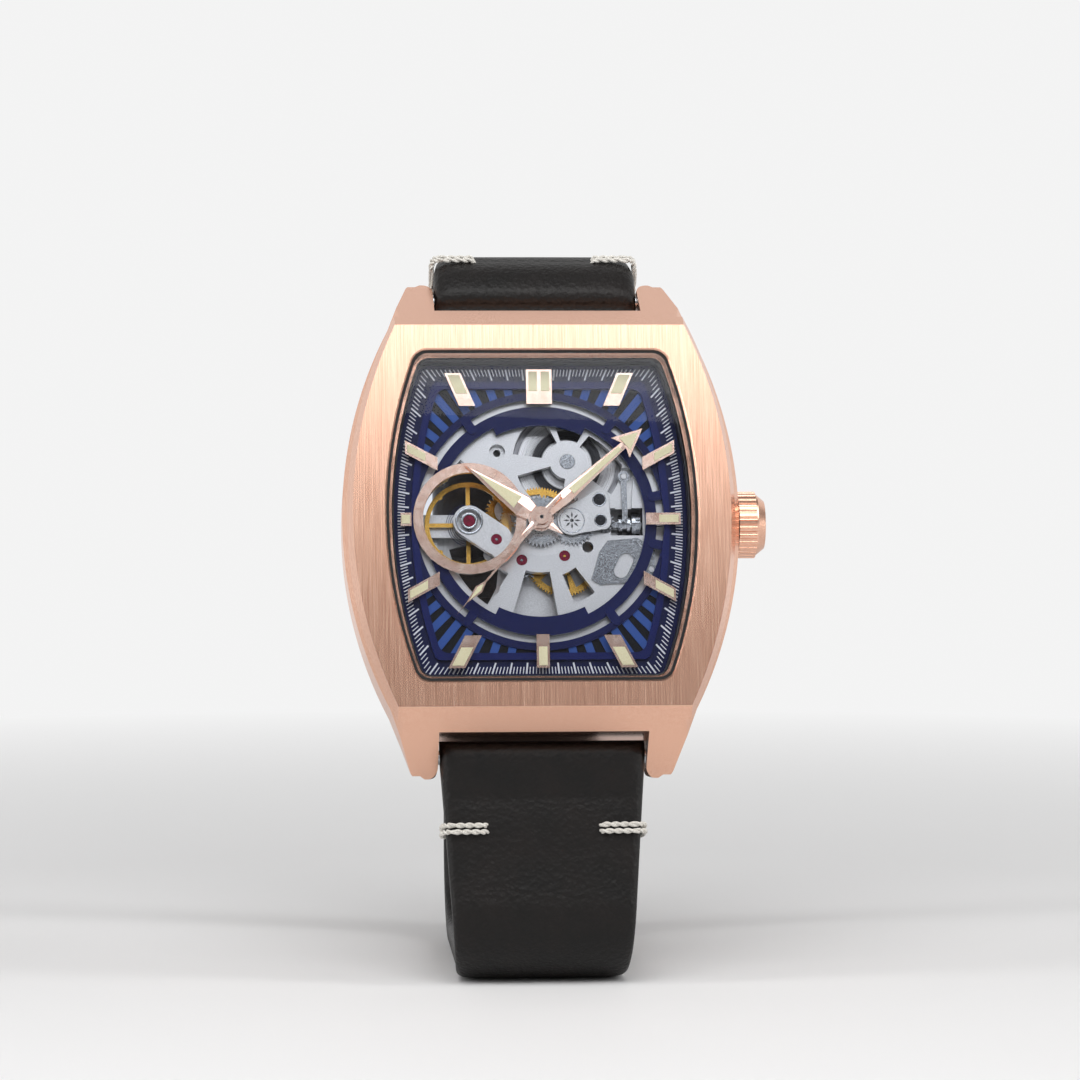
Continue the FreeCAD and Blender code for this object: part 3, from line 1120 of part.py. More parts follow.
def clutch():
    """Sliding wheel on the stem's square, grooved for the yoke, toothed at both ends."""
    start, end = CLUTCH_X, CLUTCH_X + CLUTCH_LENGTH
    body = rod_x(CLUTCH_RADIUS, start, end)
    groove = rod_x(CLUTCH_RADIUS + 1, start + 0.38, end - 0.38).cut(rod_x(0.78, start, end))
    half = STEM_SQUARE / 2 + 0.02
    square = box((start - 1, -half, STEM_Z - half), (end + 1, half, STEM_Z + half))
    gaps = []
    for n in range(12):
        gap = box((start - 1, -0.1, 0.62), (start + 0.15, 0.1, CLUTCH_RADIUS + 1))
        gap.rotate(V(0, 0, 0), V(1, 0, 0), 30.0 * n)
        gap.translate(V(0, 0, STEM_Z))
        gaps.append(gap)
    return cut(body, groove, square, *gaps)


def setting_lever():
    """Lever whose pin follows the stem's groove."""
    tip = (LEVER_GROOVE_X, 0.0)
    arm = stadium(LEVER_PIVOT, tip, 0.32, LEVER_LOW, LEVER_HIGH)
    eye = disc(0.62, LEVER_LOW, LEVER_HIGH, LEVER_PIVOT)
    pin = disc(0.16, STEM_Z + 0.34, LEVER_LOW, tip)
    return fuse(arm, eye, pin).cut(disc(0.3 + RUNNING, -2, 1, LEVER_PIVOT))


def yoke():
    """Lever whose finger stands in the clutch's groove."""
    tip = (CLUTCH_X + CLUTCH_LENGTH / 2, 0.25)
    arm = stadium(YOKE_PIVOT, tip, 0.3, LEVER_LOW, LEVER_HIGH)
    eye = disc(0.62, LEVER_LOW, LEVER_HIGH, YOKE_PIVOT)
    finger = disc(0.15, STEM_Z + 0.84, LEVER_LOW, tip)
    return fuse(arm, eye, finger).cut(disc(0.3 + RUNNING, -2, 1, YOKE_PIVOT))


# ---- self-winding
def rotor():
    """Half-disc weight on a ball-bearing hub, with its pinion."""
    low = ROTOR_BOTTOM
    web = sector(2.0, ROTOR_RADIUS - 1, 182, 358, low + 0.1, low + 0.45)
    rim = sector(ROTOR_RADIUS - ROTOR_RIM, ROTOR_RADIUS, 180, 360, low, low + 1.15)
    windows = [sector(4.0, ROTOR_RADIUS - ROTOR_RIM - 1.2, a, a + 46, low, low + 1) for a in (192, 247, 302)]
    race = ring(2.3, ROTOR_POST + RUNNING, low + 0.1, low + 0.6)
    pinion = gear(ROTOR_PINION_TEETH, ROTOR_MODULE, low + 0.6, low + 1.0, HUB, REVERSER_ANGLE, 0.44, 0.8)
    pinion = pinion.cut(disc(ROTOR_POST + RUNNING, low, 0, HUB))
    return fuse(cut(web, *windows), rim, race, pinion)


def reverser_wheel():
    phase = meshing_phase(REVERSER_ANGLE, ROTOR_PINION_TEETH, REVERSER_TEETH, REVERSER_ANGLE)
    low = ROTOR_BOTTOM + 0.65
    body = gear(REVERSER_TEETH, ROTOR_MODULE, low, low + 0.3, REVERSER, phase, 0.44, 0.8)
    hub = disc(0.9, low, BRIDGE_LOW - 0.25, REVERSER)
    return fuse(body, hub).cut(disc(0.4 + RUNNING, -6, 0, REVERSER))


# ------------------------------------------------------------------ strap, in the row frame's Y and Z
SIN, COS = math.sin(math.radians(LEAN)), math.cos(math.radians(LEAN))
HALF_LEATHER = STRAP_THICKNESS / 2
FRONT_TURN = math.radians(90 + LEAN)
FRONT_CORNER_Y = -BASE_LENGTH / 2 - FRONT_BEND * math.tan(FRONT_TURN / 2)
LOWER_BAR_Z = HUB_HEIGHT - BAR_Y * COS + BAR_Z * SIN
UPPER_BAR_Z = HUB_HEIGHT + BAR_Y * COS + BAR_Z * SIN
LOWER_BAR_Y = FRONT_CORNER_Y + (LOWER_BAR_Z - HALF_LEATHER) * SIN / COS
HUB_Y = LOWER_BAR_Y + BAR_Y * SIN + BAR_Z * COS
UPPER_BAR_Y = HUB_Y + BAR_Y * SIN - BAR_Z * COS
TAIL_Y = BASE_LENGTH / 2 + BACK_BEND
INNER_Y = TAIL_Y - STRAP_THICKNESS - STRAP_PLAY
TOP_CORNER = (UPPER_BAR_Y + TOP_RISE * math.cos(math.radians(TOP_RISE_ANGLE)),
              UPPER_BAR_Z + TOP_RISE * math.sin(math.radians(TOP_RISE_ANGLE)))

HEAD = FreeCAD.Placement(V(0, HUB_Y, HUB_HEIGHT), FreeCAD.Rotation(V(1, 0, 0), 90 - LEAN))


def rounded_path(points, radii, offset):
    """Edges of a route with its corners rounded, moved sideways by offset (left is positive)."""
    edges, start = [], None
    count = len(points)
    for n in range(count):
        p = V(0, *points[n])
        if n in (0, count - 1):
            q = V(0, *points[1 if n == 0 else n - 1])
            along = (q - p) if n == 0 else (p - q)
            along.normalize()
            here = p + V(0, -along.z, along.y) * offset
            if n == 0:
                start = here
            else:
                edges.append(Part.makeLine(start, here))
            continue
        before = (p - V(0, *points[n - 1])).normalize()
        after = (V(0, *points[n + 1]) - p).normalize()
        turn = before.y * after.z - before.z * after.y
        angle = before.getAngle(after)
        reach = radii[n - 1] * math.tan(angle / 2)
        side = 1 if turn > 0 else -1
        left_in, left_out = V(0, -before.z, before.y), V(0, -after.z, after.y)
        first, last = p - before * reach, p + after * reach
        centre = first + left_in * (side * radii[n - 1])
        radius = radii[n - 1] - side * offset
        outward = (p - centre).normalize()
        a, b = first + left_in * offset, last + left_out * offset
        edges.append(Part.makeLine(start, a))
        edges.append(Part.Arc(a, centre + outward * radius, b).toShape())
        start = b
    return edges


def band(points, radii):
    """Leather band of even thickness, extruded over the strap's full width."""
    left = rounded_path(points, radii, HALF_LEATHER)
    right = rounded_path(points, radii, -HALF_LEATHER)
    first = [left[0].Vertexes[0].Point, right[0].Vertexes[0].Point]
    last = [left[-1].Vertexes[-1].Point, right[-1].Vertexes[-1].Point]
    edges = left + [Part.makeLine(last[0], last[1])] + right + [Part.makeLine(first[1], first[0])]
    face = Part.Face(Part.Wire(Part.__sortEdges__(edges)))
    face.translate(V(-STRAP_WIDTH / 2, 0, 0))
    return face.extrude(V(STRAP_WIDTH, 0, 0))


def bar_x(radius, y, z, half=STRAP_WIDTH / 2):
    """Round bar across the strap."""
    return Part.makeCylinder(radius, 2 * half, V(-half, y, z), V(1, 0, 0))


def taper(low, high, axis):
    """Side cutters for a strap that narrows along Y or Z from its full to its end width."""
    wide, narrow, out = STRAP_WIDTH / 2 + 0.001, STRAP_END_WIDTH / 2, STRAP_WIDTH
    tools = []
    for side in (-1, 1):
        points = [(side * wide, high), (side * narrow, low), (side * out, low), (side * out, high)]
        if axis == "z":
            wire = Part.makePolygon([V(x, -80, z) for x, z in points + points[:1]])
            tools.append(Part.Face(wire).extrude(V(0, 160, 0)))
        else:
            wire = Part.makePolygon([V(x, y, -20) for x, y in points + points[:1]])
            tools.append(Part.Face(wire).extrude(V(0, 0, 160)))
    return tools


def straight_sides(low, high):
    """Cutters that keep the strap's end width inside a box given by its Y and Z corners."""
    narrow = STRAP_END_WIDTH / 2
    return [box((side * (narrow + STRAP_WIDTH / 2) - STRAP_WIDTH / 2, low[0], low[1]),
                (side * (narrow + STRAP_WIDTH / 2) + STRAP_WIDTH / 2, high[0], high[1])) for side in (-1, 1)]


def strap_lower():
    """The long half: from the lower lugs under the watch and up the back, through the buckle."""
    corners = [(FRONT_CORNER_Y, HALF_LEATHER), (TAIL_Y, HALF_LEATHER)]
    points = [(LOWER_BAR_Y, LOWER_BAR_Z), *corners, (TAIL_Y, TAIL_TOP)]
    body = fuse(band(points, [FRONT_BEND, BACK_BEND]), bar_x(STRAP_EYE, LOWER_BAR_Y, LOWER_BAR_Z))
    flat_front = -BASE_LENGTH / 2
    front = [t.common(box((-50, -80, -20), (50, flat_front, 90))) for t in taper(0, LOWER_BAR_Z, "z")]
    tools = front + straight_sides((flat_front, -1), (60, 90))
    tools.append(bar_x(BAR_RADIUS + FIT, LOWER_BAR_Y, LOWER_BAR_Z))
    half = STRAP_END_WIDTH / 2
    for side in (-1, 1):
        flat = [(1.2 * half, TAIL_TOP - 0.85 * half), (1.2 * half, TAIL_TOP + 1), (0, TAIL_TOP + 1),
                (0.3 * half, TAIL_TOP), (0.8 * half, TAIL_TOP - 0.3 * half)]
        point = [V(side * x, TAIL_Y - 3, z) for x, z in flat]
        tools.append(Part.Face(Part.makePolygon(point + point[:1])).extrude(V(0, 6, 0)))
    for n in range(-1, HOLE_COUNT - 1):
        height = TONGUE_HOLE_Z + n * HOLE_PITCH
        if n == 0:
            tools.append(box((-TONGUE_WIDTH / 2 - 0.2, TAIL_Y - 2, height - 2.0),
                             (TONGUE_WIDTH / 2 + 0.2, TAIL_Y + 2, height + 2.0)))
        else:
            tools.append(Part.makeCylinder(HOLE_RADIUS, 4, V(0, TAIL_Y - 2, height), V(0, 1, 0)))
    return cut(body, *tools)


TONGUE_HOLE_Z = BUCKLE_HEIGHT - TONGUE_DROP


def strap_upper():
    """The short half: from the upper lugs over the top and down the back to the buckle's pin."""
    corners = [TOP_CORNER, (INNER_Y, TOP_CORNER[1] - TOP_FALL)]
    points = [(UPPER_BAR_Y, UPPER_BAR_Z), *corners, (INNER_Y, BUCKLE_HEIGHT)]
    body = band(points, [TOP_BEND, SHOULDER_BEND])
    body = fuse(body, bar_x(STRAP_EYE, UPPER_BAR_Y, UPPER_BAR_Z),
                bar_x(HALF_LEATHER, INNER_Y, BUCKLE_HEIGHT))
    wide, narrow, out = STRAP_WIDTH / 2 + 0.001, STRAP_END_WIDTH / 2, STRAP_WIDTH
    tools = []
    for side in (-1, 1):
        points = [V(side * wide, UPPER_BAR_Y, -20), V(side * narrow, INNER_Y - 6, -20),
                  V(side * narrow, 60, -20), V(side * out, 60, -20), V(side * out, UPPER_BAR_Y, -20)]
        tools.append(Part.Face(Part.makePolygon(points + points[:1])).extrude(V(0, 0, 160)))
    tools.append(bar_x(BAR_RADIUS + FIT, UPPER_BAR_Y, UPPER_BAR_Z))
    tools.append(bar_x(BUCKLE_PIN + FIT, INNER_Y, BUCKLE_HEIGHT))
    slot = TONGUE_WIDTH / 2 + 0.45
    tools.append(box((-slot, INNER_Y - 3, BUCKLE_HEIGHT - 3), (slot, INNER_Y + 1.5, BUCKLE_HEIGHT + 1.7)))
    return cut(body, *tools)


CROSSBAR_Y = TAIL_Y + HALF_LEATHER + BUCKLE_BAR + BUCKLE_PLAY
CROSSBAR_Z = BUCKLE_HEIGHT - BUCKLE_REACH


def buckle_frame():
    """Two side arms and a crossbar that lies on the outside of the strap."""
    inner = STRAP_END_WIDTH / 2 + BUCKLE_PLAY
    parts = [bar_x(BUCKLE_BAR, CROSSBAR_Y, CROSSBAR_Z, inner + BUCKLE_ARM)]
    for side in (-1, 1):
        arm = stadium((INNER_Y, BUCKLE_HEIGHT), (CROSSBAR_Y, CROSSBAR_Z), BUCKLE_BAR, 0, BUCKLE_ARM)
        arm.Placement = FreeCAD.Placement(V(inner if side > 0 else -inner - BUCKLE_ARM, 0, 0),
                                          FreeCAD.Rotation(V(1, 1, 1), 120))
        parts.append(arm)
    pin = bar_x(BUCKLE_PIN, INNER_Y, BUCKLE_HEIGHT, inner + BUCKLE_ARM + 1)
    return fuse(*parts).cut(pin)


def buckle_pin():
    return bar_x(BUCKLE_PIN, INNER_Y, BUCKLE_HEIGHT, STRAP_END_WIDTH / 2 + BUCKLE_PLAY + BUCKLE_ARM)


def buckle_tongue():
    """Bent tongue: hinged on the pin, through the strap's hole, its tip on the crossbar."""
    rest = (CROSSBAR_Y + BUCKLE_BAR + TONGUE_THICKNESS / 2 + 0.03, CROSSBAR_Z + 0.4)
    bend = (TAIL_Y + HALF_LEATHER + 1.0, TONGUE_HOLE_Z - 1.0)
    end = (rest[0], CROSSBAR_Z - 1.1)
    half = TONGUE_THICKNESS / 2
    parts = [stadium((INNER_Y, BUCKLE_HEIGHT), bend, half, 0, TONGUE_WIDTH),
             stadium(bend, rest, half, 0, TONGUE_WIDTH), stadium(rest, end, half, 0, TONGUE_WIDTH),
             disc(1.1, 0, TONGUE_WIDTH, (INNER_Y, BUCKLE_HEIGHT))]
    body = fuse(*parts).cut(disc(BUCKLE_PIN + RUNNING, -1, TONGUE_WIDTH + 1, (INNER_Y, BUCKLE_HEIGHT)))
    body.Placement = FreeCAD.Placement(V(-TONGUE_WIDTH / 2, 0, 0), FreeCAD.Rotation(V(1, 1, 1), 120))
    return body


def keeper(height):
    """Leather loop round both layers of the strap."""
    half = STRAP_END_WIDTH / 2 + KEEPER_PLAY
    low_y, high_y = INNER_Y - HALF_LEATHER - KEEPER_PLAY, TAIL_Y + HALF_LEATHER + KEEPER_PLAY
    z0, z1 = height - KEEPER_HEIGHT / 2, height + KEEPER_HEIGHT / 2
    outer = box((-half - KEEPER_WALL, low_y - KEEPER_WALL, z0),
                (half + KEEPER_WALL, high_y + KEEPER_WALL, z1))
    outer = round_upright_edges(outer, KEEPER_WALL)
    return outer.cut(box((-half, low_y, z0 - 1), (half, high_y, z1 + 1)))


# ------------------------------------------------------------------ writing the pieces
HEAD_PARTS = {
    "case_middle": case_middle,
    "bezel": bezel,
    "crystal": crystal,
    "crystal_gasket": crystal_gasket,
    "case_back": case_back,
    "case_back_glass": case_back_glass,
    "case_back_gasket": case_back_gasket,
    "case_back_screws": case_back_screws,
    "movement_ring": movement_ring,
    "crown_tube": crown_tube,
    "spring_bars": spring_bars,
    "spring_bar_pins_left": lambda: spring_bar_pins(-1),
    "spring_bar_pins_right": lambda: spring_bar_pins(1),
    "dial_frame": dial_frame,
    "balance_ring": balance_ring,
    "hour_markers": hour_markers,
    "main_plate": main_plate,
    "jewels": jewels,
    "barrel_bridge": barrel_bridge,
    "train_bridge": train_bridge,
    "balance_cock": balance_cock,
    "pallet_cock": pallet_cock,
    "movement_screws": movement_screws,
    "setting_lever_jumper": setting_lever_jumper,
    "centre_wheel": centre_wheel,
    "barrel": barrel,
    "mainspring": mainspring,
    "barrel_arbor": barrel_arbor,
    "third_wheel": third_wheel,
    "fourth_wheel": fourth_wheel,
    "escape_wheel": escape_wheel,
    "pallet_fork": pallet_fork,
    "balance_wheel": balance_wheel,
    "balance_staff": balance_staff,
    "hairspring": hairspring,
    "cannon_pinion": cannon_pinion,
    "hour_wheel": hour_wheel,
    "minute_wheel": minute_wheel,
    "setting_wheel": setting_wheel,
    "hour_hand": hour_hand,
    "minute_hand": minute_hand,
    "seconds_hand": seconds_hand,
    "ratchet_wheel": ratchet_wheel,
    "crown_wheel": crown_wheel,
    "click": click,
    "crown": crown,
    "stem": stem,
    "winding_pinion": winding_pinion,
    "clutch": clutch,
    "setting_lever": setting_lever,
    "yoke": yoke,
    "rotor": rotor,
    "reverser_wheel": reverser_wheel,
}

LOOP_PARTS = {
    "strap_upper": strap_upper,
    "strap_lower": strap_lower,
    "buckle_frame": buckle_frame,
    "buckle_pin": buckle_pin,
    "buckle_tongue": buckle_tongue,
    "fixed_keeper": lambda: keeper(FIXED_KEEPER_Z),
    "sliding_keeper": lambda: keeper(FREE_KEEPER_Z),
}


def write_parts():
    os.makedirs("parts", exist_ok=True)
    for name, make in HEAD_PARTS.items():
        shape = make()
        shape.Placement = HEAD.multiply(shape.Placement)
        shape.exportStep("parts/" + name + ".step")
    for name, make in LOOP_PARTS.items():
        make().exportStep("parts/" + name + ".step")


write_parts()
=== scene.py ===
import json
import math

import bpy
import numpy as np
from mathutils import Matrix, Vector


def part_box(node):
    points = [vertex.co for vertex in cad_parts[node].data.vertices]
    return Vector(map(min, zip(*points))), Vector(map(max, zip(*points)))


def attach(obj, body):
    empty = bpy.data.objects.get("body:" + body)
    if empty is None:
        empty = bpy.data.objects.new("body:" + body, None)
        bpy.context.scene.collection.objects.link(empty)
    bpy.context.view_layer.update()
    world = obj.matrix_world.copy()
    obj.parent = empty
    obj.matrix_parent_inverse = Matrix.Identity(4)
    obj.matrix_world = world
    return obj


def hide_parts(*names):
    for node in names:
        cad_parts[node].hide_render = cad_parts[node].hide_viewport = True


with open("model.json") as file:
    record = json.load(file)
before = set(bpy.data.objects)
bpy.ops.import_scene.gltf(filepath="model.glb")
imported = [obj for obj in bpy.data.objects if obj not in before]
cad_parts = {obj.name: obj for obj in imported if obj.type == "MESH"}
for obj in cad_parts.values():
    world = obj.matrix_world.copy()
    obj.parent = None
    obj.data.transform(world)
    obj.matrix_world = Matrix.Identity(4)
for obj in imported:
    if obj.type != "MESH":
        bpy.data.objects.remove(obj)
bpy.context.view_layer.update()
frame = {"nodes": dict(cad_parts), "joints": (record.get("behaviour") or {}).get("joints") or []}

bl_info = {
    "name": "Skeleton wristwatch looks",
    "version": (1, 0, 0),
    "blender": (4, 5, 0),
    "location": "3D View > Sidebar > Watch",
    "description": "Materials, soft parts and small details round the packed skeleton wristwatch",
    "category": "Object",
}

MM = 0.001


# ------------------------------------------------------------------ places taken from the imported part
def joint(name):
    """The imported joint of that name."""
    return next(j for j in frame["joints"] if j["name"] == name)


HAND_JOINT = joint("minute_hand_spin")
JOINT_DEPTH = 2.0                       # mm from the joint's point up to the dial side of the plate
N_AXIS = np.array(HAND_JOINT["axis"])
X_AXIS = np.array([1.0, 0.0, 0.0])
Y_AXIS = np.cross(N_AXIS, X_AXIS)
HUB = np.array(HAND_JOINT["pos_m"]) / MM + JOINT_DEPTH * N_AXIS
TILT = math.atan2(Y_AXIS[2], Y_AXIS[1])


def head(x, y, z):
    """Points of the watch head, in mm from the hands' axis, as row points in mm."""
    x, y, z = np.broadcast_arrays(x, y, z)
    return HUB + x[..., None] * X_AXIS + y[..., None] * Y_AXIS + z[..., None] * N_AXIS


def head_place(joint_name):
    """Where a joint's axis stands in the head's x and y, in mm."""
    away = np.array(joint(joint_name)["pos_m"]) / MM - HUB
    return float(away @ X_AXIS), float(away @ Y_AXIS)


def corners(node):
    """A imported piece's lowest and highest corner, in mm."""
    low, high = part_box(node)
    return np.array(low) / MM, np.array(high) / MM


# ------------------------------------------------------------------ shader helpers
def linear(hex_colour):
    """An sRGB hex colour as linear RGBA."""
    parts = [int(hex_colour[i:i + 2], 16) / 255 for i in (1, 3, 5)]
    return tuple(c / 12.92 if c <= 0.04045 else ((c + 0.055) / 1.055) ** 2.4 for c in parts) + (1.0,)


def add(tree, kind, inputs=None, stops=(), **settings):
    """Adds a shader node.

    inputs maps a socket's name or number to a value or to another socket, and stops are the places and colours
    along a colour ramp.
    """
    made = tree.nodes.new("ShaderNode" + kind)
    for name, value in settings.items():
        setattr(made, name, value)
    for name, value in (inputs or {}).items():
        if isinstance(value, bpy.types.NodeSocket):
            tree.links.new(value, made.inputs[name])
        else:
            made.inputs[name].default_value = value
    if stops:
        points = made.color_ramp.elements
        while len(points) < len(stops):
            points.new(0.5)
        for point, (place, colour) in zip(points, stops):
            point.position = place
            point.color = linear(colour) if isinstance(colour, str) else colour
    return made


def new_material(name):
    """An empty material and its node tree."""
    material = bpy.data.materials.new(name)
    material.use_nodes = True
    material.node_tree.nodes.clear()
    return material, material.node_tree


def background_rays(tree):
    """1 for the rays that show the pale background: straight to the camera, off metal, or through glass."""
    rays = add(tree, "LightPath").outputs
    straight = add(tree, "Math", {0: rays["Is Camera Ray"], 1: rays["Is Transmission Ray"]},
                   operation="MAXIMUM").outputs["Value"]
    return add(tree, "Math", {0: straight, 1: rays["Is Glossy Ray"]}, operation="MAXIMUM").outputs["Value"]


def finish_material(tree, shader):
    """Links the last shader to the material's output."""
    add(tree, "OutputMaterial", {"Surface": shader})


def head_coordinates(tree):
    """Object coordinates turned to the watch head: x to 3 o'clock, y to 12, z out of the dial."""
    place = add(tree, "TexCoord").outputs["Object"]
    turned = add(tree, "Mapping", {"Vector": place, "Location": tuple(HUB * MM),
                                   "Rotation": (TILT, 0.0, 0.0)}, vector_type="TEXTURE")
    return turned.outputs["Vector"]


def grain(tree, place, period_mm, detail=3.0):
    """Noise whose features are period_mm wide along each axis."""
    scaled = add(tree, "VectorMath", {0: place, 1: tuple(1.0 / (p * MM) for p in period_mm)},
                 operation="MULTIPLY").outputs["Vector"]
    return add(tree, "TexNoise", {"Vector": scaled, "Scale": 1.0, "Detail": detail}).outputs["Fac"]


def metal(name, dark, light, rough, period_mm, depth_mm, detail=3.0):
    """Metal whose grain is drawn out along its longest period: brushing, turning or fine blasting."""
    material, tree = new_material(name)
    value = grain(tree, head_coordinates(tree), period_mm, detail)
    colour = add(tree, "ValToRGB", {"Fac": value}, ((0.3, dark), (0.7, light))).outputs["Color"]
    rough_map = add(tree, "MapRange", {"Value": value, "To Min": rough[0], "To Max": rough[1]})
    roughness = rough_map.outputs["Result"]
    normal = add(tree, "Bump", {"Height": value, "Distance": depth_mm * MM}).outputs["Normal"]
    shader = add(tree, "BsdfPrincipled", {"Base Color": colour, "Metallic": 1.0, "Roughness": roughness,
                                          "Normal": normal})
    finish_material(tree, shader.outputs["BSDF"])
    return material


def coated(name, dark, light, rough, period_mm, depth_mm, coat=0.0):
    """Paint, lacquer, lume, rubber or stone with a fine uneven surface."""
    material, tree = new_material(name)
    value = grain(tree, head_coordinates(tree), (period_mm,) * 3)
    colour = add(tree, "ValToRGB", {"Fac": value}, ((0.3, dark), (0.7, light))).outputs["Color"]
    rough_map = add(tree, "MapRange", {"Value": value, "To Min": rough[0], "To Max": rough[1]})
    roughness = rough_map.outputs["Result"]
    normal = add(tree, "Bump", {"Height": value, "Distance": depth_mm * MM}).outputs["Normal"]
    shader = add(tree, "BsdfPrincipled", {"Base Color": colour, "Roughness": roughness, "Coat Weight": coat,
                                          "Normal": normal})
    finish_material(tree, shader.outputs["BSDF"])
    return material


FLOOR_LEVEL, RING_LEVEL = 0.4, 1.2      # mm above the dial side of the plate


def dial_lacquer(name, dark, light, slat):
    """Lacquered brass dial, coloured by level: a black floor of painted shade, bright sunk slats, deep blue
    flange and rings.
    """
    material, tree = new_material(name)
    place = head_coordinates(tree)
    value = grain(tree, place, (0.2, 0.2, 0.2))
    level = add(tree, "SeparateXYZ", {"Vector": place}).outputs["Z"]
    share = add(tree, "MapRange", {"Value": level, "From Min": FLOOR_LEVEL * MM,
                                   "From Max": RING_LEVEL * MM}).outputs["Result"]
    # painted shade: the floor under the slats, the lowest 0.15 of the levels, is near-black #02030a for the
    # shade that falls between the slats
    levels = ((0.0, "#02030a"), (0.15, "#02030a"), (0.19, slat), (0.36, slat), (0.4, dark), (1.0, light))
    colour = add(tree, "ValToRGB", {"Fac": share}, levels).outputs["Color"]
    roughness = add(tree, "MapRange", {"Value": value, "To Min": 0.28, "To Max": 0.42}).outputs["Result"]
    normal = add(tree, "Bump", {"Height": value, "Distance": 0.001 * MM}).outputs["Normal"]
    shader = add(tree, "BsdfPrincipled", {"Base Color": colour, "Roughness": roughness, "Coat Weight": 0.05,
                                          "Specular IOR Level": 0.2, "Normal": normal})
    finish_material(tree, shader.outputs["BSDF"])
    return material


DRUM_RADIUS = 6.0                       # mm, outside of the turned bands


def snailed(name, centre):
    """Steel turned in fine rings round a centre, with a dark band of painted shadow between two polished bands.
    """
    material, tree = new_material(name)
    place = add(tree, "VectorMath", {0: head_coordinates(tree), 1: (centre[0] * MM, centre[1] * MM, 0.0)},
                operation="SUBTRACT").outputs["Vector"]
    flat = add(tree, "VectorMath", {0: place, 1: (1 / MM, 1 / MM, 0.0)}, operation="MULTIPLY").outputs["Vector"]
    radius = add(tree, "VectorMath", {0: flat}, operation="LENGTH").outputs["Value"]
    rings = add(tree, "TexNoise", {"W": radius, "Scale": 9.0, "Detail": 2.0},
                noise_dimensions="1D").outputs["Fac"]
    share = add(tree, "Math", {0: radius, 1: DRUM_RADIUS}, operation="DIVIDE").outputs["Value"]
    # painted shadow: the near-black stops from 0.47 to 0.62 of the drum's radius stand for the mainspring's
    # shadow inside the drum
    bands_with_painted_shadow = ((0.0, "#b0b0b0"), (0.44, "#c8c8c8"), (0.47, "#2c2c2e"), (0.62, "#3a3a3c"), (0.65, "#9a9a9a"),
              (0.86, "#d0d0d0"), (0.9, "#77777a"), (1.0, "#a8a8aa"))
    bands = add(tree, "ValToRGB", {"Fac": share}, bands_with_painted_shadow).outputs["Color"]
    colour = add(tree, "MixRGB", {0: 0.25, 1: bands, 2: rings}, blend_type="OVERLAY").outputs[0]
    roughness = add(tree, "MapRange", {"Value": rings, "To Min": 0.2, "To Max": 0.4}).outputs["Result"]
    normal = add(tree, "Bump", {"Height": rings, "Distance": 0.003 * MM}).outputs["Normal"]
    shader = add(tree, "BsdfPrincipled", {"Base Color": colour, "Metallic": 1.0, "Roughness": roughness,
                                          "Normal": normal})
    finish_material(tree, shader.outputs["BSDF"])
    return material


def sapphire(name):
    """Polished sapphire with an antireflection coat: clear, with a faint mirror on its face."""
    material, tree = new_material(name)
    smear = grain(tree, head_coordinates(tree), (9.0, 9.0, 9.0))
    roughness = add(tree, "MapRange", {"Value": smear, "To Min": 0.0, "To Max": 0.03}).outputs["Result"]
    clear = add(tree, "BsdfTransparent", {"Color": (0.97, 0.98, 1.0, 1.0)}).outputs["BSDF"]
    mirror = add(tree, "BsdfGlossy", {"Color": (1.0, 1.0, 1.0, 1.0), "Roughness": roughness}).outputs["BSDF"]
    edge = add(tree, "Fresnel", {"IOR": 1.35}).outputs["Fac"]
    share = add(tree, "Math", {0: edge, 1: 0.6}, operation="MULTIPLY").outputs["Value"]
    finish_material(tree, add(tree, "MixShader", {0: share, 1: clear, 2: mirror}).outputs["Shader"])
    return material


PEBBLE = 0.55                           # mm across one pebble of the grain


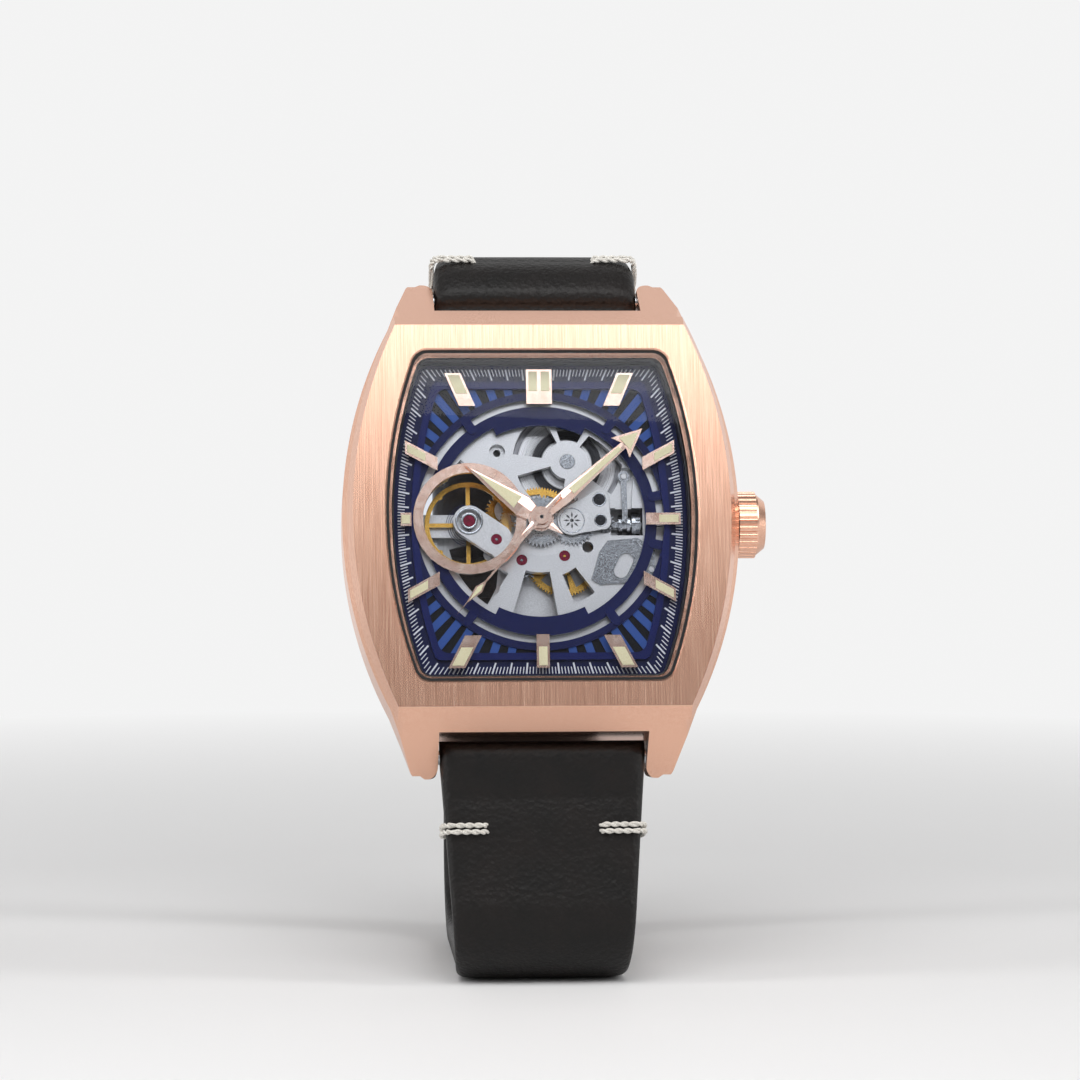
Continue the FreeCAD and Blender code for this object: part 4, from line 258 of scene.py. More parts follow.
def leather(name, dark, light, holes=None):
    """Calf leather, pressed with a fine pebble grain and waxed: soft broken highlights on near-black brown.

    holes is where the buckle holes are painted as near-black discs of shade: the first one's height, their
    pitch, count and radius, and the face that they show on.
    """
    material, tree = new_material(name)
    place = add(tree, "TexCoord").outputs["Object"]
    pebble = add(tree, "TexVoronoi", {"Vector": place, "Scale": 1 / (PEBBLE * MM)},
                 feature="F1").outputs["Distance"]
    cloud = grain(tree, place, (4.0, 4.0, 4.0))
    fine = grain(tree, place, (0.25, 0.25, 0.25))
    height = add(tree, "Math", {0: pebble, 1: fine}, operation="ADD").outputs["Value"]
    colour = add(tree, "ValToRGB", {"Fac": cloud}, ((0.35, dark), (0.75, light))).outputs["Color"]
    roughness = add(tree, "MapRange", {"Value": fine, "To Min": 0.36, "To Max": 0.55}).outputs["Result"]
    if holes:
        first, pitch, count, radius, face = holes
        lowest, highest = (first - pitch / 2) * MM, (first + (count - 0.5) * pitch) * MM
        split = add(tree, "SeparateXYZ", {"Vector": place}).outputs
        steps = add(tree, "Math", {0: split["Z"], 1: lowest}, operation="SUBTRACT").outputs["Value"]
        near = add(tree, "Math", {0: steps, 1: pitch * MM}, operation="FLOORED_MODULO").outputs["Value"]
        off = add(tree, "Math", {0: near, 1: pitch / 2 * MM}, operation="SUBTRACT").outputs["Value"]
        away = add(tree, "CombineXYZ", {"X": split["X"], "Y": off}).outputs["Vector"]
        length = add(tree, "VectorMath", {0: away}, operation="LENGTH").outputs["Value"]
        hole = add(tree, "Math", {0: length, 1: radius * MM}, operation="LESS_THAN").outputs["Value"]
        for value, limit, side in ((split["Y"], face * MM, "GREATER_THAN"),
                                   (split["Z"], lowest, "GREATER_THAN"), (split["Z"], highest, "LESS_THAN")):
            test = add(tree, "Math", {0: value, 1: limit}, operation=side).outputs["Value"]
            hole = add(tree, "Math", {0: hole, 1: test}, operation="MULTIPLY").outputs["Value"]
        # painted shade: inside each buckle hole the colour turns near-black #040302, standing in for the shade
        # in a hole that is not in the geometry
        colour = add(tree, "MixRGB", {0: hole, 1: colour, 2: linear("#040302")}).outputs[0]
    normal = add(tree, "Bump", {"Height": height, "Distance": 0.08 * MM, "Strength": 0.7}).outputs["Normal"]
    shader = add(tree, "BsdfPrincipled", {"Base Color": colour, "Roughness": roughness,
                                          "Specular IOR Level": 0.3, "Normal": normal})
    finish_material(tree, shader.outputs["BSDF"])
    return material


MATERIALS = {}


def make_materials(look):
    """Fills MATERIALS. Roughness, grain and depth of each are (low, high), mm along x, y and z, and mm."""
    M = MATERIALS
    # rose-gold plated steel, brushed along the case: fine streaks that draw highlights out up and down
    M["brushed_gold"] = metal("brushed_gold", look.gold_dark, look.gold_light, (0.2, 0.3), (0.06, 6.0, 0.06),
                              0.003)
    # rose-gold plated screw heads, polished on a wheel: small sharp reflections
    M["polished_gold"] = metal("polished_gold", "#e6b9a4", "#f0cbb8", (0.06, 0.12), (1.5, 1.5, 1.5), 0.001)
    # rose-gold plated brass of the hands and markers, satin polished: pale, with a soft sheen on each facet
    M["hand_gold"] = metal("hand_gold", "#f0c8b2", "#f8dccb", (0.16, 0.24), (0.8, 0.8, 0.8), 0.001)
    # luminous paint laid on by hand: matt cream with faint unevenness
    M["lume"] = coated("lume", "#eadfae", "#f5ecc4", (0.5, 0.7), 0.15, 0.004)
    # lacquered brass dial: deep blue over bright blue slats, with a black floor of painted shade between them
    M["dial_blue"] = dial_lacquer("dial_blue", look.dial_dark, look.dial_light, look.slat_blue)
    # near-black wall of the opening: painted shade for the dark gap between bezel and dial, with a dull gleam
    M["wall_black"] = coated("wall_black", "#020308", "#070a18", (0.3, 0.45), 0.3, 0.002)
    # pad-printed white enamel of the minute track: flat and bright
    M["tick_white"] = coated("tick_white", "#e6e8ee", "#f4f5f8", (0.4, 0.55), 0.2, 0.002)
    # nickel-plated brass plates, fine blasted: an even pale grey
    M["nickel"] = metal("nickel", "#b4b4b4", "#cacaca", (0.3, 0.42), (0.12, 0.12, 0.12), 0.002)
    # gilt brass wheels, rolled and gilded: warm yellow glints on the teeth
    M["gilt"] = metal("gilt", "#d0a04a", "#e2b862", (0.22, 0.3), (0.1, 0.1, 0.1), 0.001)
    # hardened steel, lapped: cool grey with bright edges
    M["steel"] = metal("steel", "#8d9094", "#b4b7ba", (0.16, 0.3), (0.2, 0.2, 0.2), 0.002)
    # mainspring drum: turned steel, polished in rings round its arbor, with one dark band of painted shadow
    M["snailed_steel"] = snailed("snailed_steel", head_place("barrel_spin"))
    # dark steel: painted shade in the cover's cuts and holes, and the dark pivot end of the seconds hand; dark,
    # with a slight gleam
    M["dark_steel"] = metal("dark_steel", "#242426", "#363639", (0.25, 0.4), (0.2, 0.2, 0.2), 0.002)
    # spring steel, tempered blue
    M["blued"] = metal("blued", "#20264a", "#39406a", (0.2, 0.3), (0.2, 0.2, 0.2), 0.002)
    # winding rotor, brushed across: long soft streaks
    M["rotor_steel"] = metal("rotor_steel", "#9a9b9c", "#c2c2c1", (0.25, 0.4), (0.05, 3.0, 0.3), 0.003)
    # synthetic ruby, polished: deep red under a clear gloss
    M["ruby"] = coated("ruby", "#5d0922", "#8f1238", (0.05, 0.12), 0.4, 0.0, 1.0)
    M["sapphire"] = sapphire("sapphire")
    # moulded nitrile rubber of the gaskets: matt black
    M["rubber"] = coated("rubber", "#0b0b0c", "#151516", (0.6, 0.8), 0.2, 0.003)
    # turned brass of the casing ring under dull nickel: warm grey
    M["casing"] = metal("casing", "#77736c", "#989389", (0.35, 0.5), (0.3, 0.3, 0.3), 0.003)
    # waxed linen thread: off-white, matt, darker between its fibres
    M["thread"] = coated("thread", "#b8b3aa", "#e8e6e0", (0.7, 0.9), 0.12, 0.02)
    M["leather"] = leather("leather", "#050302", "#100a08", HOLES)
    M["leather_keeper"] = leather("leather_keeper", "#050302", "#100a08")
    return M


CAD_FINISH = {
    "brushed_gold": ("case_middle", "bezel", "case_back", "crown", "buckle_frame", "buckle_tongue"),
    "polished_gold": ("case_back_screws",),
    "hand_gold": ("balance_ring", "hour_markers", "hour_hand", "minute_hand", "seconds_hand"),
    "dial_blue": ("dial_frame",),
    "nickel": ("main_plate", "barrel_bridge", "train_bridge", "balance_cock", "pallet_cock"),
    "gilt": ("centre_wheel", "third_wheel", "fourth_wheel", "balance_wheel", "reverser_wheel"),
    "snailed_steel": ("barrel",),
    "steel": ("escape_wheel", "pallet_fork", "balance_staff", "cannon_pinion", "setting_wheel", "barrel_arbor",
              "ratchet_wheel", "crown_wheel", "click", "stem", "hour_wheel", "minute_wheel", "winding_pinion",
              "clutch", "setting_lever", "yoke", "setting_lever_jumper", "movement_screws", "spring_bars",
              "spring_bar_pins_left", "spring_bar_pins_right", "buckle_pin", "crown_tube"),
    "rotor_steel": ("rotor",),
    "blued": ("mainspring", "hairspring"),
    "ruby": ("jewels",),
    "sapphire": ("crystal", "case_back_glass"),
    "rubber": ("crystal_gasket", "case_back_gasket"),
    "casing": ("movement_ring",),
    "leather": ("strap_upper", "strap_lower"),
    "leather_keeper": ("fixed_keeper", "sliding_keeper"),
}


# ------------------------------------------------------------------ mesh helpers
def mesh_piece(name, points_mm, faces, material, body, slot, smooth=True):
    """A piece from row points in mm and a list of faces, riding on a CAD body."""
    mesh = bpy.data.meshes.new(name)
    mesh.from_pydata((np.asarray(points_mm) * MM).tolist(), [], [[int(i) for i in face] for face in faces])
    mesh.validate()
    mesh.polygons.foreach_set("use_smooth", [smooth] * len(mesh.polygons))
    mesh.materials.append(MATERIALS[material])
    piece = bpy.data.objects.new(name, mesh)
    bpy.context.scene.collection.objects.link(piece)
    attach(piece, body)
    return piece


def grid_faces(rows, columns, close_rows=False, close_columns=True, flip=False):
    """Quads of a grid of points, wrapped round where it closes."""
    r = np.arange(rows if close_rows else rows - 1)
    c = np.arange(columns if close_columns else columns - 1)
    r, c = np.meshgrid(r, c, indexing="ij")
    r2, c2 = (r + 1) % rows, (c + 1) % columns
    quads = np.stack([r * columns + c, r * columns + c2, r2 * columns + c2, r2 * columns + c], -1)
    quads = quads.reshape(-1, 4)
    return quads[:, ::-1] if flip else quads


def merged(parts):
    """Several (points, faces) pairs as one."""
    points, faces, start = [], [], 0
    for part_points, part_faces in parts:
        points.append(np.asarray(part_points).reshape(-1, 3))
        faces += [[int(i) + start for i in face] for face in part_faces]
        start += len(points[-1])
    return np.concatenate(points), faces


def slab(outline, low, high, bevel=0.0):
    """Closed slab over a flat convex outline of the head, with its top edge drawn in by bevel."""
    outline = np.asarray(outline, float)
    centre = outline.mean(0)
    inner = centre + (outline - centre) * (1 - bevel)
    count = len(outline)
    points = np.concatenate([head(outline[:, 0], outline[:, 1], low), head(inner[:, 0], inner[:, 1], high)])
    sides = [[i, (i + 1) % count, (i + 1) % count + count, i + count] for i in range(count)]
    return points, sides + [list(range(count, 2 * count)), list(range(count - 1, -1, -1))]


def turned(centre, profile, rim=96):
    """Ring round an upright axis of the head: an anticlockwise (radius, z) profile carried round a circle."""
    profile = np.asarray(profile, float)
    angle = np.linspace(0, 2 * math.pi, rim, endpoint=False)[:, None]
    x = centre[0] + np.cos(angle) * profile[None, :, 0]
    y = centre[1] + np.sin(angle) * profile[None, :, 0]
    z = np.broadcast_to(profile[None, :, 1], x.shape)
    return head(x, y, z).reshape(-1, 3), grid_faces(rim, len(profile), True, flip=True)


def flat_ring(centre, inner, outer, low, high, edge=0.04):
    """Flat ring with its upper edges broken by edge."""
    return turned(centre, [(inner, low), (outer, low), (outer, high - edge), (outer - edge, high),
                           (inner + edge, high), (inner, high - edge)])


def wall_along(outline, thickness, low, high):
    """Upright closed wall on a flat anticlockwise outline, its inner face moved inwards by thickness."""
    edge = np.roll(outline, -1, 0) - np.roll(outline, 1, 0)
    edge /= np.linalg.norm(edge, axis=1)[:, None]
    inner = outline + np.stack([-edge[:, 1], edge[:, 0]], -1) * thickness
    section = [head(line[:, 0], line[:, 1], level) for line, level in
               ((outline, low), (outline, high), (inner, high), (inner, low))]
    return np.stack(section, 1).reshape(-1, 3), grid_faces(len(outline), 4, True, flip=True)


def ridge(stations, clock_degrees, low, crest):
    """Roof over a blade: at each (distance, half width) two slopes meet in a ridge over the middle line."""
    along, half = np.asarray(stations, float).T
    middle = np.zeros_like(along)
    flat = [pointing(np.stack([x, along], -1), clock_degrees) for x in (half, middle, -half)]
    points = np.stack([head(f[:, 0], f[:, 1], z) for f, z in zip(flat, (low, crest, low))], 1).reshape(-1, 3)
    last = 3 * (len(along) - 1)
    faces = grid_faces(len(along), 3, flip=True).tolist()
    return points, faces + [[2, 0, 1], [last + 1, last, last + 2]]


# ------------------------------------------------------------------ strap shape
LOWER_LOW, LOWER_HIGH = corners("strap_lower")
UPPER_LOW, UPPER_HIGH = corners("strap_upper")
BARS_LOW, BARS_HIGH = corners("spring_bars")
PIN_LOW, PIN_HIGH = corners("buckle_pin")
HALF = 1.3                              # half the leather's thickness, in mm
EYE = 1.75                              # outer radius of the leather round a spring bar
EYE_PADDING = 2.5                       # half thickness of the leather over the spring bar
WIDE, NARROW = UPPER_HIGH[0] - UPPER_LOW[0], 18.0
BAR_RADIUS = 0.75
LOWER_BAR = (BARS_LOW[1] + BAR_RADIUS, BARS_LOW[2] + BAR_RADIUS)
UPPER_BAR = (BARS_HIGH[1] - BAR_RADIUS, BARS_HIGH[2] - BAR_RADIUS)
PIN = ((PIN_LOW[1] + PIN_HIGH[1]) / 2, (PIN_LOW[2] + PIN_HIGH[2]) / 2)
TAIL_Y, TAIL_TOP = LOWER_HIGH[1] - HALF, LOWER_HIGH[2]
LEAN = math.pi / 2 - TILT
BACK_BEND, FRONT_BEND, TOP_BEND, SHOULDER_BEND = 10.0, 6.0, 6.0, 11.0
TOP_RISE, TOP_RISE_ANGLE, TOP_FALL = 5.0, math.radians(50), 2.8
# the buckle holes are only painted on the leather, as dark discs of shade
HOLE_FIRST, HOLE_PITCH, HOLE_COUNT, HOLE_RADIUS = PIN[1] - 1.6 - 6.5, 6.5, 5, 0.85
HOLES = (HOLE_FIRST, HOLE_PITCH, HOLE_COUNT, HOLE_RADIUS, TAIL_Y - 2.0)
PAD, PAD_PLACE, PAD_REACH = 0.45, 7.0, 5.0        # swelling of the leather, and where it lies along the strap
FOLD_REACH = 4.5                        # length over which the fold at the bar thins out
TIP_SHARE = 0.45                        # length of the rounded tail, as a share of its width


def rounded_route(corner_points, radii, step=0.35):
    """Points and directions, in Y and Z, along straight runs joined by arcs."""
    pts = [np.array(p, float) for p in corner_points]
    route, heading = [], []

    def run(a, b):
        count = max(2, int(np.linalg.norm(b - a) / step))
        along = (b - a) / max(np.linalg.norm(b - a), 1e-9)
        for t in np.linspace(0, 1, count, endpoint=False):
            route.append(a + (b - a) * t)
            heading.append(along)

    here = pts[0]
    for i in range(1, len(pts) - 1):
        before = (pts[i] - pts[i - 1]) / np.linalg.norm(pts[i] - pts[i - 1])
        after = (pts[i + 1] - pts[i]) / np.linalg.norm(pts[i + 1] - pts[i])
        turn = math.atan2(before[0] * after[1] - before[1] * after[0], before @ after)
        reach = radii[i - 1] * math.tan(abs(turn) / 2)
        first = pts[i] - before * reach
        run(here, first)
        side = math.copysign(1, turn)
        left = np.array([-before[1], before[0]]) * side
        centre = first + left * radii[i - 1]
        count = max(4, int(abs(turn) * radii[i - 1] / step))
        for t in np.linspace(0, turn, count, endpoint=False):
            c, s = math.cos(t), math.sin(t)
            out = np.array([-left[0] * c + left[1] * s, -left[0] * s - left[1] * c])
            route.append(centre + out * radii[i - 1])
            heading.append(np.array([before[0] * c - before[1] * s, before[0] * s + before[1] * c]))
        here = pts[i] + after * reach
    run(here, pts[-1])
    route.append(pts[-1])
    heading.append(heading[-1])
    return np.array(route), np.array(heading)


def lower_route():
    """Middle line of the long half: down from the lower bar, along the table, and up behind to the tail."""
    front = LOWER_BAR[0] + (LOWER_BAR[1] - HALF) * -math.tan(LEAN)
    start = np.array(LOWER_BAR) + np.array([math.sin(LEAN), math.cos(LEAN)]) * EYE
    return rounded_route([start, (front, HALF), (TAIL_Y, HALF), (TAIL_Y, TAIL_TOP)], [FRONT_BEND, BACK_BEND])


def upper_route():
    """Middle line of the short half: up and over from the upper bar, and down to the buckle's pin."""
    rise = np.array([math.cos(TOP_RISE_ANGLE), math.sin(TOP_RISE_ANGLE)])
    top = np.array(UPPER_BAR) + TOP_RISE * rise
    start = np.array(UPPER_BAR) - rise * EYE
    return rounded_route([start, top, (PIN[0], top[1] - TOP_FALL), (PIN[0], PIN[1] - HALF)],
                         [TOP_BEND, SHOULDER_BEND])


def sweep_band(route, heading, half_width, half_thick, rim=40):
    """Closed band: round each point of the route goes a soft-cornered section.

    Its width follows the cosine of an angle to the power 0.22, and its thickness the sine to the power 0.55.
    """
    angle = np.linspace(0, 2 * math.pi, rim, endpoint=False)
    c, s = np.cos(angle), np.sin(angle)
    across = np.sign(c) * np.abs(c) ** 0.22
    through = np.sign(s) * np.abs(s) ** 0.55
    normal = np.stack([-heading[:, 1], heading[:, 0]], -1)
    x = half_width[:, None] * across[None]
    y = route[:, 0:1] + normal[:, 0:1] * half_thick[:, None] * through[None]
    z = route[:, 1:2] + normal[:, 1:2] * half_thick[:, None] * through[None]
    points = np.stack([x, y, z], -1).reshape(-1, 3)
    faces = grid_faces(len(route), rim).tolist()
    faces.append(list(range(rim)))
    faces.append(list(range(len(points) - 1, len(points) - rim - 1, -1)))
    return points, faces


def band_sizes(route, first_eye, last_round, widths):
    """Half width and half thickness along a strap half.

    The thickness is a half circle at the bar, then a bell-shaped fold and pad over the leather's own, and it is
    rounded off at the other end.
    """
    s = np.concatenate([[0], np.cumsum(np.linalg.norm(np.diff(route, axis=0), axis=1))])
    total = s[-1]
    thick = HALF + PAD * np.exp(-((s - PAD_PLACE) / PAD_REACH) ** 2)
    eye = EYE_PADDING * np.sqrt(np.clip(1 - (s / first_eye - 1) ** 2, 0.0001, None))
    fold = HALF + (EYE_PADDING - HALF) * np.exp(-((s - first_eye) / FOLD_REACH) ** 2)
    thick = np.where(s < first_eye, eye, np.maximum(thick, fold))
    end = np.sqrt(np.clip(last_round ** 2 - np.clip(s - (total - last_round), 0, None) ** 2, 0.0004, None))
    thick = np.minimum(thick, end * HALF / last_round + (thick - HALF) * (s < total - last_round))
    return widths(s, total), thick


def strap_piece(name, route, heading, widths):
    """One half of the strap: its section carried along its route."""
    half_width, half_thick = band_sizes(route, EYE, HALF, widths)
    points, faces = sweep_band(route, heading, half_width, half_thick)
    return mesh_piece(name, points, faces, "leather", "case", "strap_leather")


def lower_widths(s, total):
    """Half width: a straight taper down to the table, then even, then a tail rounded off by a power curve."""
    taper = WIDE / 2 + (NARROW - WIDE) / 2 * np.clip((s - EYE) / (LOWER_BAR[1] + 4), 0, 1)
    tip = np.clip((s - (total - NARROW * TIP_SHARE)) / (NARROW * TIP_SHARE), 0, 1)
    return np.maximum(taper * np.sqrt(1 - tip ** 2.2), 0.4)


def upper_widths(s, total):
    """Half width: a straight taper that ends 19 mm past the bar's leather, then even."""
    return WIDE / 2 + (NARROW - WIDE) / 2 * np.clip((s - EYE - 3) / 16.0, 0, 1)


# ------------------------------------------------------------------ stitches and keepers
def strand(line, radius, turns, phase, rim=8):
    """Round yarn: a circle carried along a helix that winds round a line of points."""
    line = np.asarray(line, float)
    along = np.gradient(line, axis=0)
    along /= np.linalg.norm(along, axis=1)[:, None]
    side = np.cross(along, np.array([0.31, 0.87, 0.38]))
    side /= np.linalg.norm(side, axis=1)[:, None]
    up = np.cross(along, side)
    t = np.linspace(0, 1, len(line)) * 2 * math.pi * turns + phase
    core = line + radius * 0.8 * (np.cos(t)[:, None] * side + np.sin(t)[:, None] * up)
    angle = np.linspace(0, 2 * math.pi, rim, endpoint=False)
    ring = (np.cos(angle)[None, :, None] * side[:, None] + np.sin(angle)[None, :, None] * up[:, None]) * radius
    points = (core[:, None] + ring).reshape(-1, 3)
    faces = grid_faces(len(line), rim, flip=True).tolist()
    faces += [list(range(rim)), list(range(len(points) - 1, len(points) - rim - 1, -1))]
    return points, faces


def stitch(centre, heading, half_width, half_thick, side):
    """Twisted double thread: straight out from a hole in the face, round the edge, and back behind.

    Two parallel pairs of yarns. Round the edge the line's height is a power of a cosine and its reach a power
    of a sine, so that it hugs the soft corner.
    """
    normal = np.array([-heading[1], heading[0]])
    reach, yarn, corner = 4.6, 0.34, 0.9
    lift = half_thick + yarn * 0.9
    run = reach - corner
    distance = np.linspace(0, 2 * run + math.pi * lift, 150)
    turn = np.clip((distance - run) / lift, 0, math.pi)
    wrap = np.abs(np.sin(turn)) ** 0.45 * (corner + yarn)
    out = np.minimum(distance, run) - np.clip(distance - run - math.pi * lift, 0, None) + wrap
    x = side * (half_width - reach + out)
    height = lift * np.sign(np.cos(turn)) * np.abs(np.cos(turn)) ** 0.4
    dive = np.exp(-(np.minimum(distance, distance[-1] - distance) / 0.3) ** 2)
    height *= 1 - 0.5 * dive
    line = np.stack([x, centre[0] + normal[0] * height, centre[1] + normal[1] * height], -1)
    apart = np.array([0, heading[0], heading[1]]) * 0.5
    return [strand(line + apart * k, yarn / 2, 7, phase) for k, phase in
            ((-0.7, 0.0), (-0.7, math.pi), (0.7, 1.0), (0.7, 1.0 + math.pi))]


def keeper_loop(low, high, height):
    """Leather loop: a closed wall round a soft-cornered rectangle.

    The plan and the wall's section are both powers of a cosine and a sine, small powers for squarer corners.
    """
    wall = 1.0
    mid_x, mid_y = (low[0] + high[0]) / 2, (low[1] + high[1]) / 2
    hx, hy = (high[0] - low[0]) / 2 - wall / 2, (high[1] - low[1]) / 2 - wall / 2
    t = np.linspace(0, 2 * math.pi, 160, endpoint=False)
    cx, sy = np.cos(t), np.sin(t)
    px = mid_x + hx * np.sign(cx) * np.abs(cx) ** 0.2
    py = mid_y + hy * np.sign(sy) * np.abs(sy) ** 0.35
    d = np.stack([np.roll(px, -1) - np.roll(px, 1), np.roll(py, -1) - np.roll(py, 1)], -1)
    d /= np.linalg.norm(d, axis=1)[:, None]
    out = np.stack([d[:, 1], -d[:, 0]], -1)
    a = np.linspace(0, 2 * math.pi, 20, endpoint=False)
    w = wall / 2 * np.sign(np.cos(a)) * np.abs(np.cos(a)) ** 0.5
    h = height / 2 * np.sign(np.sin(a)) * np.abs(np.sin(a)) ** 0.3
    middle = (low[2] + high[2]) / 2
    x = px[:, None] + out[:, 0:1] * w[None]
    y = py[:, None] + out[:, 1:2] * w[None]
    z = np.broadcast_to(middle + h[None], x.shape)
    return np.stack([x, y, z], -1).reshape(-1, 3), grid_faces(160, 20, True)


# ------------------------------------------------------------------ dial details
# levels are in mm above the dial side of the plate
MARKER_TOP = 1.75
FLANGE_TOP = 0.75
HOUR_ANGLE, MINUTE_ANGLE, SECOND_ANGLE = 306.0, 48.5, 221.0        # clock angles, in degrees
HOUR_FACE, HOUR_CREST, HOUR_TAIL_CREST = 1.84, 2.02, 1.98
MINUTE_FACE, MINUTE_CREST, MINUTE_TAIL_CREST = 2.39, 2.58, 2.52
HOUR_LUME, MINUTE_LUME, ARROW_LUME, SECONDS_LUME = (1.8, 2.08), (2.3, 2.62), (2.3, 2.5), (2.9, 2.99)
LUME_EDGE = 0.05                        # share by which a filling's top is drawn in
TICK_COUNT = 300
TRACK_OUTER, TRACK_LONG, TRACK_SHORT = (15.3, 16.6, 49.0), (14.1, 15.4, 47.8), (14.55, 15.85, 48.2)
WALL_OUTLINE, WALL_THICKNESS, WALL_LEVELS = (15.97, 17.27, 49.57, 1.44), 0.22, (0.76, 2.88)
SHOCK_RINGS = ((1.22, 1.5, 0.04), (0.64, 0.9, 0.06))        # inner and outer radius, and top
SHOCK_EARS, SHOCK_EAR_PLACE = (30, 150, 270), 1.05
COVER_LEVELS, CUT_LEVELS = (0.74, 0.86), (0.8, 0.87)
COVER_RADIUS = 1.6                      # round the minute wheel's axis
COVER_BOSSES = (((6.7, -0.1), 0.95), ((6.4, 2.3), 1.05))
COVER_HOLES = (((6.35, 2.27), 0.6, 0.78), ((6.45, 0.0), 0.55, 0.7))        # centre, radius, rim's radius
LEAF = np.array([(0.3, -0.02), (0.6, -0.11), (0.95, 0.0), (0.6, 0.11), (0.3, 0.02)])
LEAF_COUNT = 8
# inner end, outer end and width of each marker
MARKERS = {
    12: ((0.0, 12.6), (0.0, 16.4), 2.76), 1: ((7.76, 12.4), (9.3, 16.0), 1.6),
    2: ((11.0, 6.03), (14.46, 7.9), 1.25), 3: ((11.3, 0.0), (15.0, 0.0), 1.28),
    4: ((10.9, -6.4), (14.3, -8.3), 1.25), 5: ((7.4, -12.6), (9.2, -16.1), 1.6),
    6: ((0.0, -12.5), (0.0, -16.1), 1.38), 7: ((-7.4, -12.6), (-9.2, -16.1), 1.6),
    8: ((-10.9, -6.4), (-14.3, -8.3), 1.25), 9: ((-13.85, 0.0), (-15.0, 0.0), 1.43),
    10: ((-11.0, 6.03), (-14.46, 7.9), 1.25), 11: ((-7.76, 12.4), (-9.3, 16.0), 1.6),
}


def bar_outline(inner, outer, width, start, end, offset=0.0):
    """Four corners of a strip along a marker, its ends cut as the marker's are."""
    inner, outer = np.array(inner), np.array(outer)
    upright = abs(outer[1]) > abs(outer[0])
    run = abs(outer[1] - inner[1]) if upright else abs(outer[0] - inner[0])
    half = width / 2 * np.linalg.norm(outer - inner) / run
    side = np.array([half, 0.0]) if upright else np.array([0.0, half])
    middle = side / half * offset
    a, b = inner + (outer - inner) * start + middle, inner + (outer - inner) * end + middle
    corners4 = [a - side, a + side, b + side, b - side]
    area = sum(p[0] * q[1] - q[0] * p[1] for p, q in zip(corners4, corners4[1:] + corners4[:1]))
    return corners4 if area > 0 else corners4[::-1]


def tonneau_reach(angle, half_width, half_height, radius):
    """Distance from the centre to a barrel-shaped outline along each angle, found by halving."""
    low, high = np.zeros_like(angle), np.full_like(angle, 60.0)
    for _ in range(40):
        mid = (low + high) / 2
        x, y = np.abs(mid * np.cos(angle)), np.abs(mid * np.sin(angle))
        side = half_width - radius + np.sqrt(np.clip(radius ** 2 - y ** 2, 0, None))
        inside = (y < half_height) & (x < side)
        low, high = np.where(inside, mid, low), np.where(inside, high, mid)
    return low


def minute_track():
    """Short white lines across the flange, five to a minute, the first of each five longer and wider."""
    parts = []
    angle = np.linspace(0, 2 * math.pi, TICK_COUNT, endpoint=False) + math.pi / 2
    outer, inner_long, inner_short = (tonneau_reach(angle, *line)
                                      for line in (TRACK_OUTER, TRACK_LONG, TRACK_SHORT))
    for i, a in enumerate(angle):
        inner, half = (inner_long[i], 0.09) if i % 5 == 0 else (inner_short[i], 0.05)
        along = np.array([math.cos(a), math.sin(a)])
        across = np.array([-along[1], along[0]]) * half
        outline = [along * inner - across, along * outer[i] - across, along * outer[i] + across,
                   along * inner + across]
        parts.append(slab(outline, FLANGE_TOP - 0.01, FLANGE_TOP + 0.02))
    return parts


def opening_outline(half_width, half_height, radius, corner, steps=48):
    """Barrel-shaped outline, anticlockwise: bulging sides and straight ends, joined by round corners."""
    upper, bulge = half_height - corner, radius - corner
    lean = math.asin(upper / bulge)
    side = np.linspace(0, lean, steps)
    turn = np.linspace(lean, math.pi / 2, 14)[1:]
    x = np.concatenate([half_width - radius + radius * np.cos(side),
                        half_width - radius + bulge * math.cos(lean) + corner * np.cos(turn)])
    y = np.concatenate([radius * np.sin(side), upper + corner * np.sin(turn)])
    quarter = np.stack([x, y], -1)
    upper_left = quarter[::-1] * (-1, 1)
    half = np.concatenate([quarter, upper_left])
    return np.concatenate([half, -half[1:-1]])


def pointing(points, clock_degrees):
    """Turns flat points that are drawn for 12 o'clock to a clock angle."""
    a = -math.radians(clock_degrees)
    rot = np.array([[math.cos(a), -math.sin(a)], [math.sin(a), math.cos(a)]])
    return np.asarray(points, float) @ rot.T


# ------------------------------------------------------------------ settings
class WatchLook(bpy.types.PropertyGroup):
    """Colours of the watch that a user would change."""
    gold_dark: bpy.props.FloatVectorProperty(
        name="Gold, dark streaks", description="Darker colour of the brushed gold", default=linear("#e0aa90"),
        size=4, min=0.0, max=1.0, subtype="COLOR")
    gold_light: bpy.props.FloatVectorProperty(
        name="Gold, light streaks", description="Lighter colour of the brushed gold", default=linear("#f6cab2"),
        size=4, min=0.0, max=1.0, subtype="COLOR")
    slat_blue: bpy.props.FloatVectorProperty(
        name="Dial slats", description="Blue of the sunk slats", default=linear("#35569c"),
        size=4, min=0.0, max=1.0, subtype="COLOR")
    dial_dark: bpy.props.FloatVectorProperty(
        name="Dial, low", description="Blue of the dial's lower levels", default=linear("#0b1340"),
        size=4, min=0.0, max=1.0, subtype="COLOR")
    dial_light: bpy.props.FloatVectorProperty(
        name="Dial, high", description="Blue of the dial's flange and rings", default=linear("#0f1a58"),
        size=4, min=0.0, max=1.0, subtype="COLOR")
    key_power: bpy.props.FloatProperty(name="Key light", description="Power of the large soft light, in watts",
                                       default=1.2, min=0.0, unit="POWER")
    floor_shade: bpy.props.FloatProperty(name="Floor", description="Lightness of the floor", default=0.78,
                                         min=0.0, max=1.0, subtype="FACTOR")
    camera_distance: bpy.props.FloatProperty(name="Camera distance", description="From the lens to the dial",
                                             default=0.45, min=0.1, unit="LENGTH")


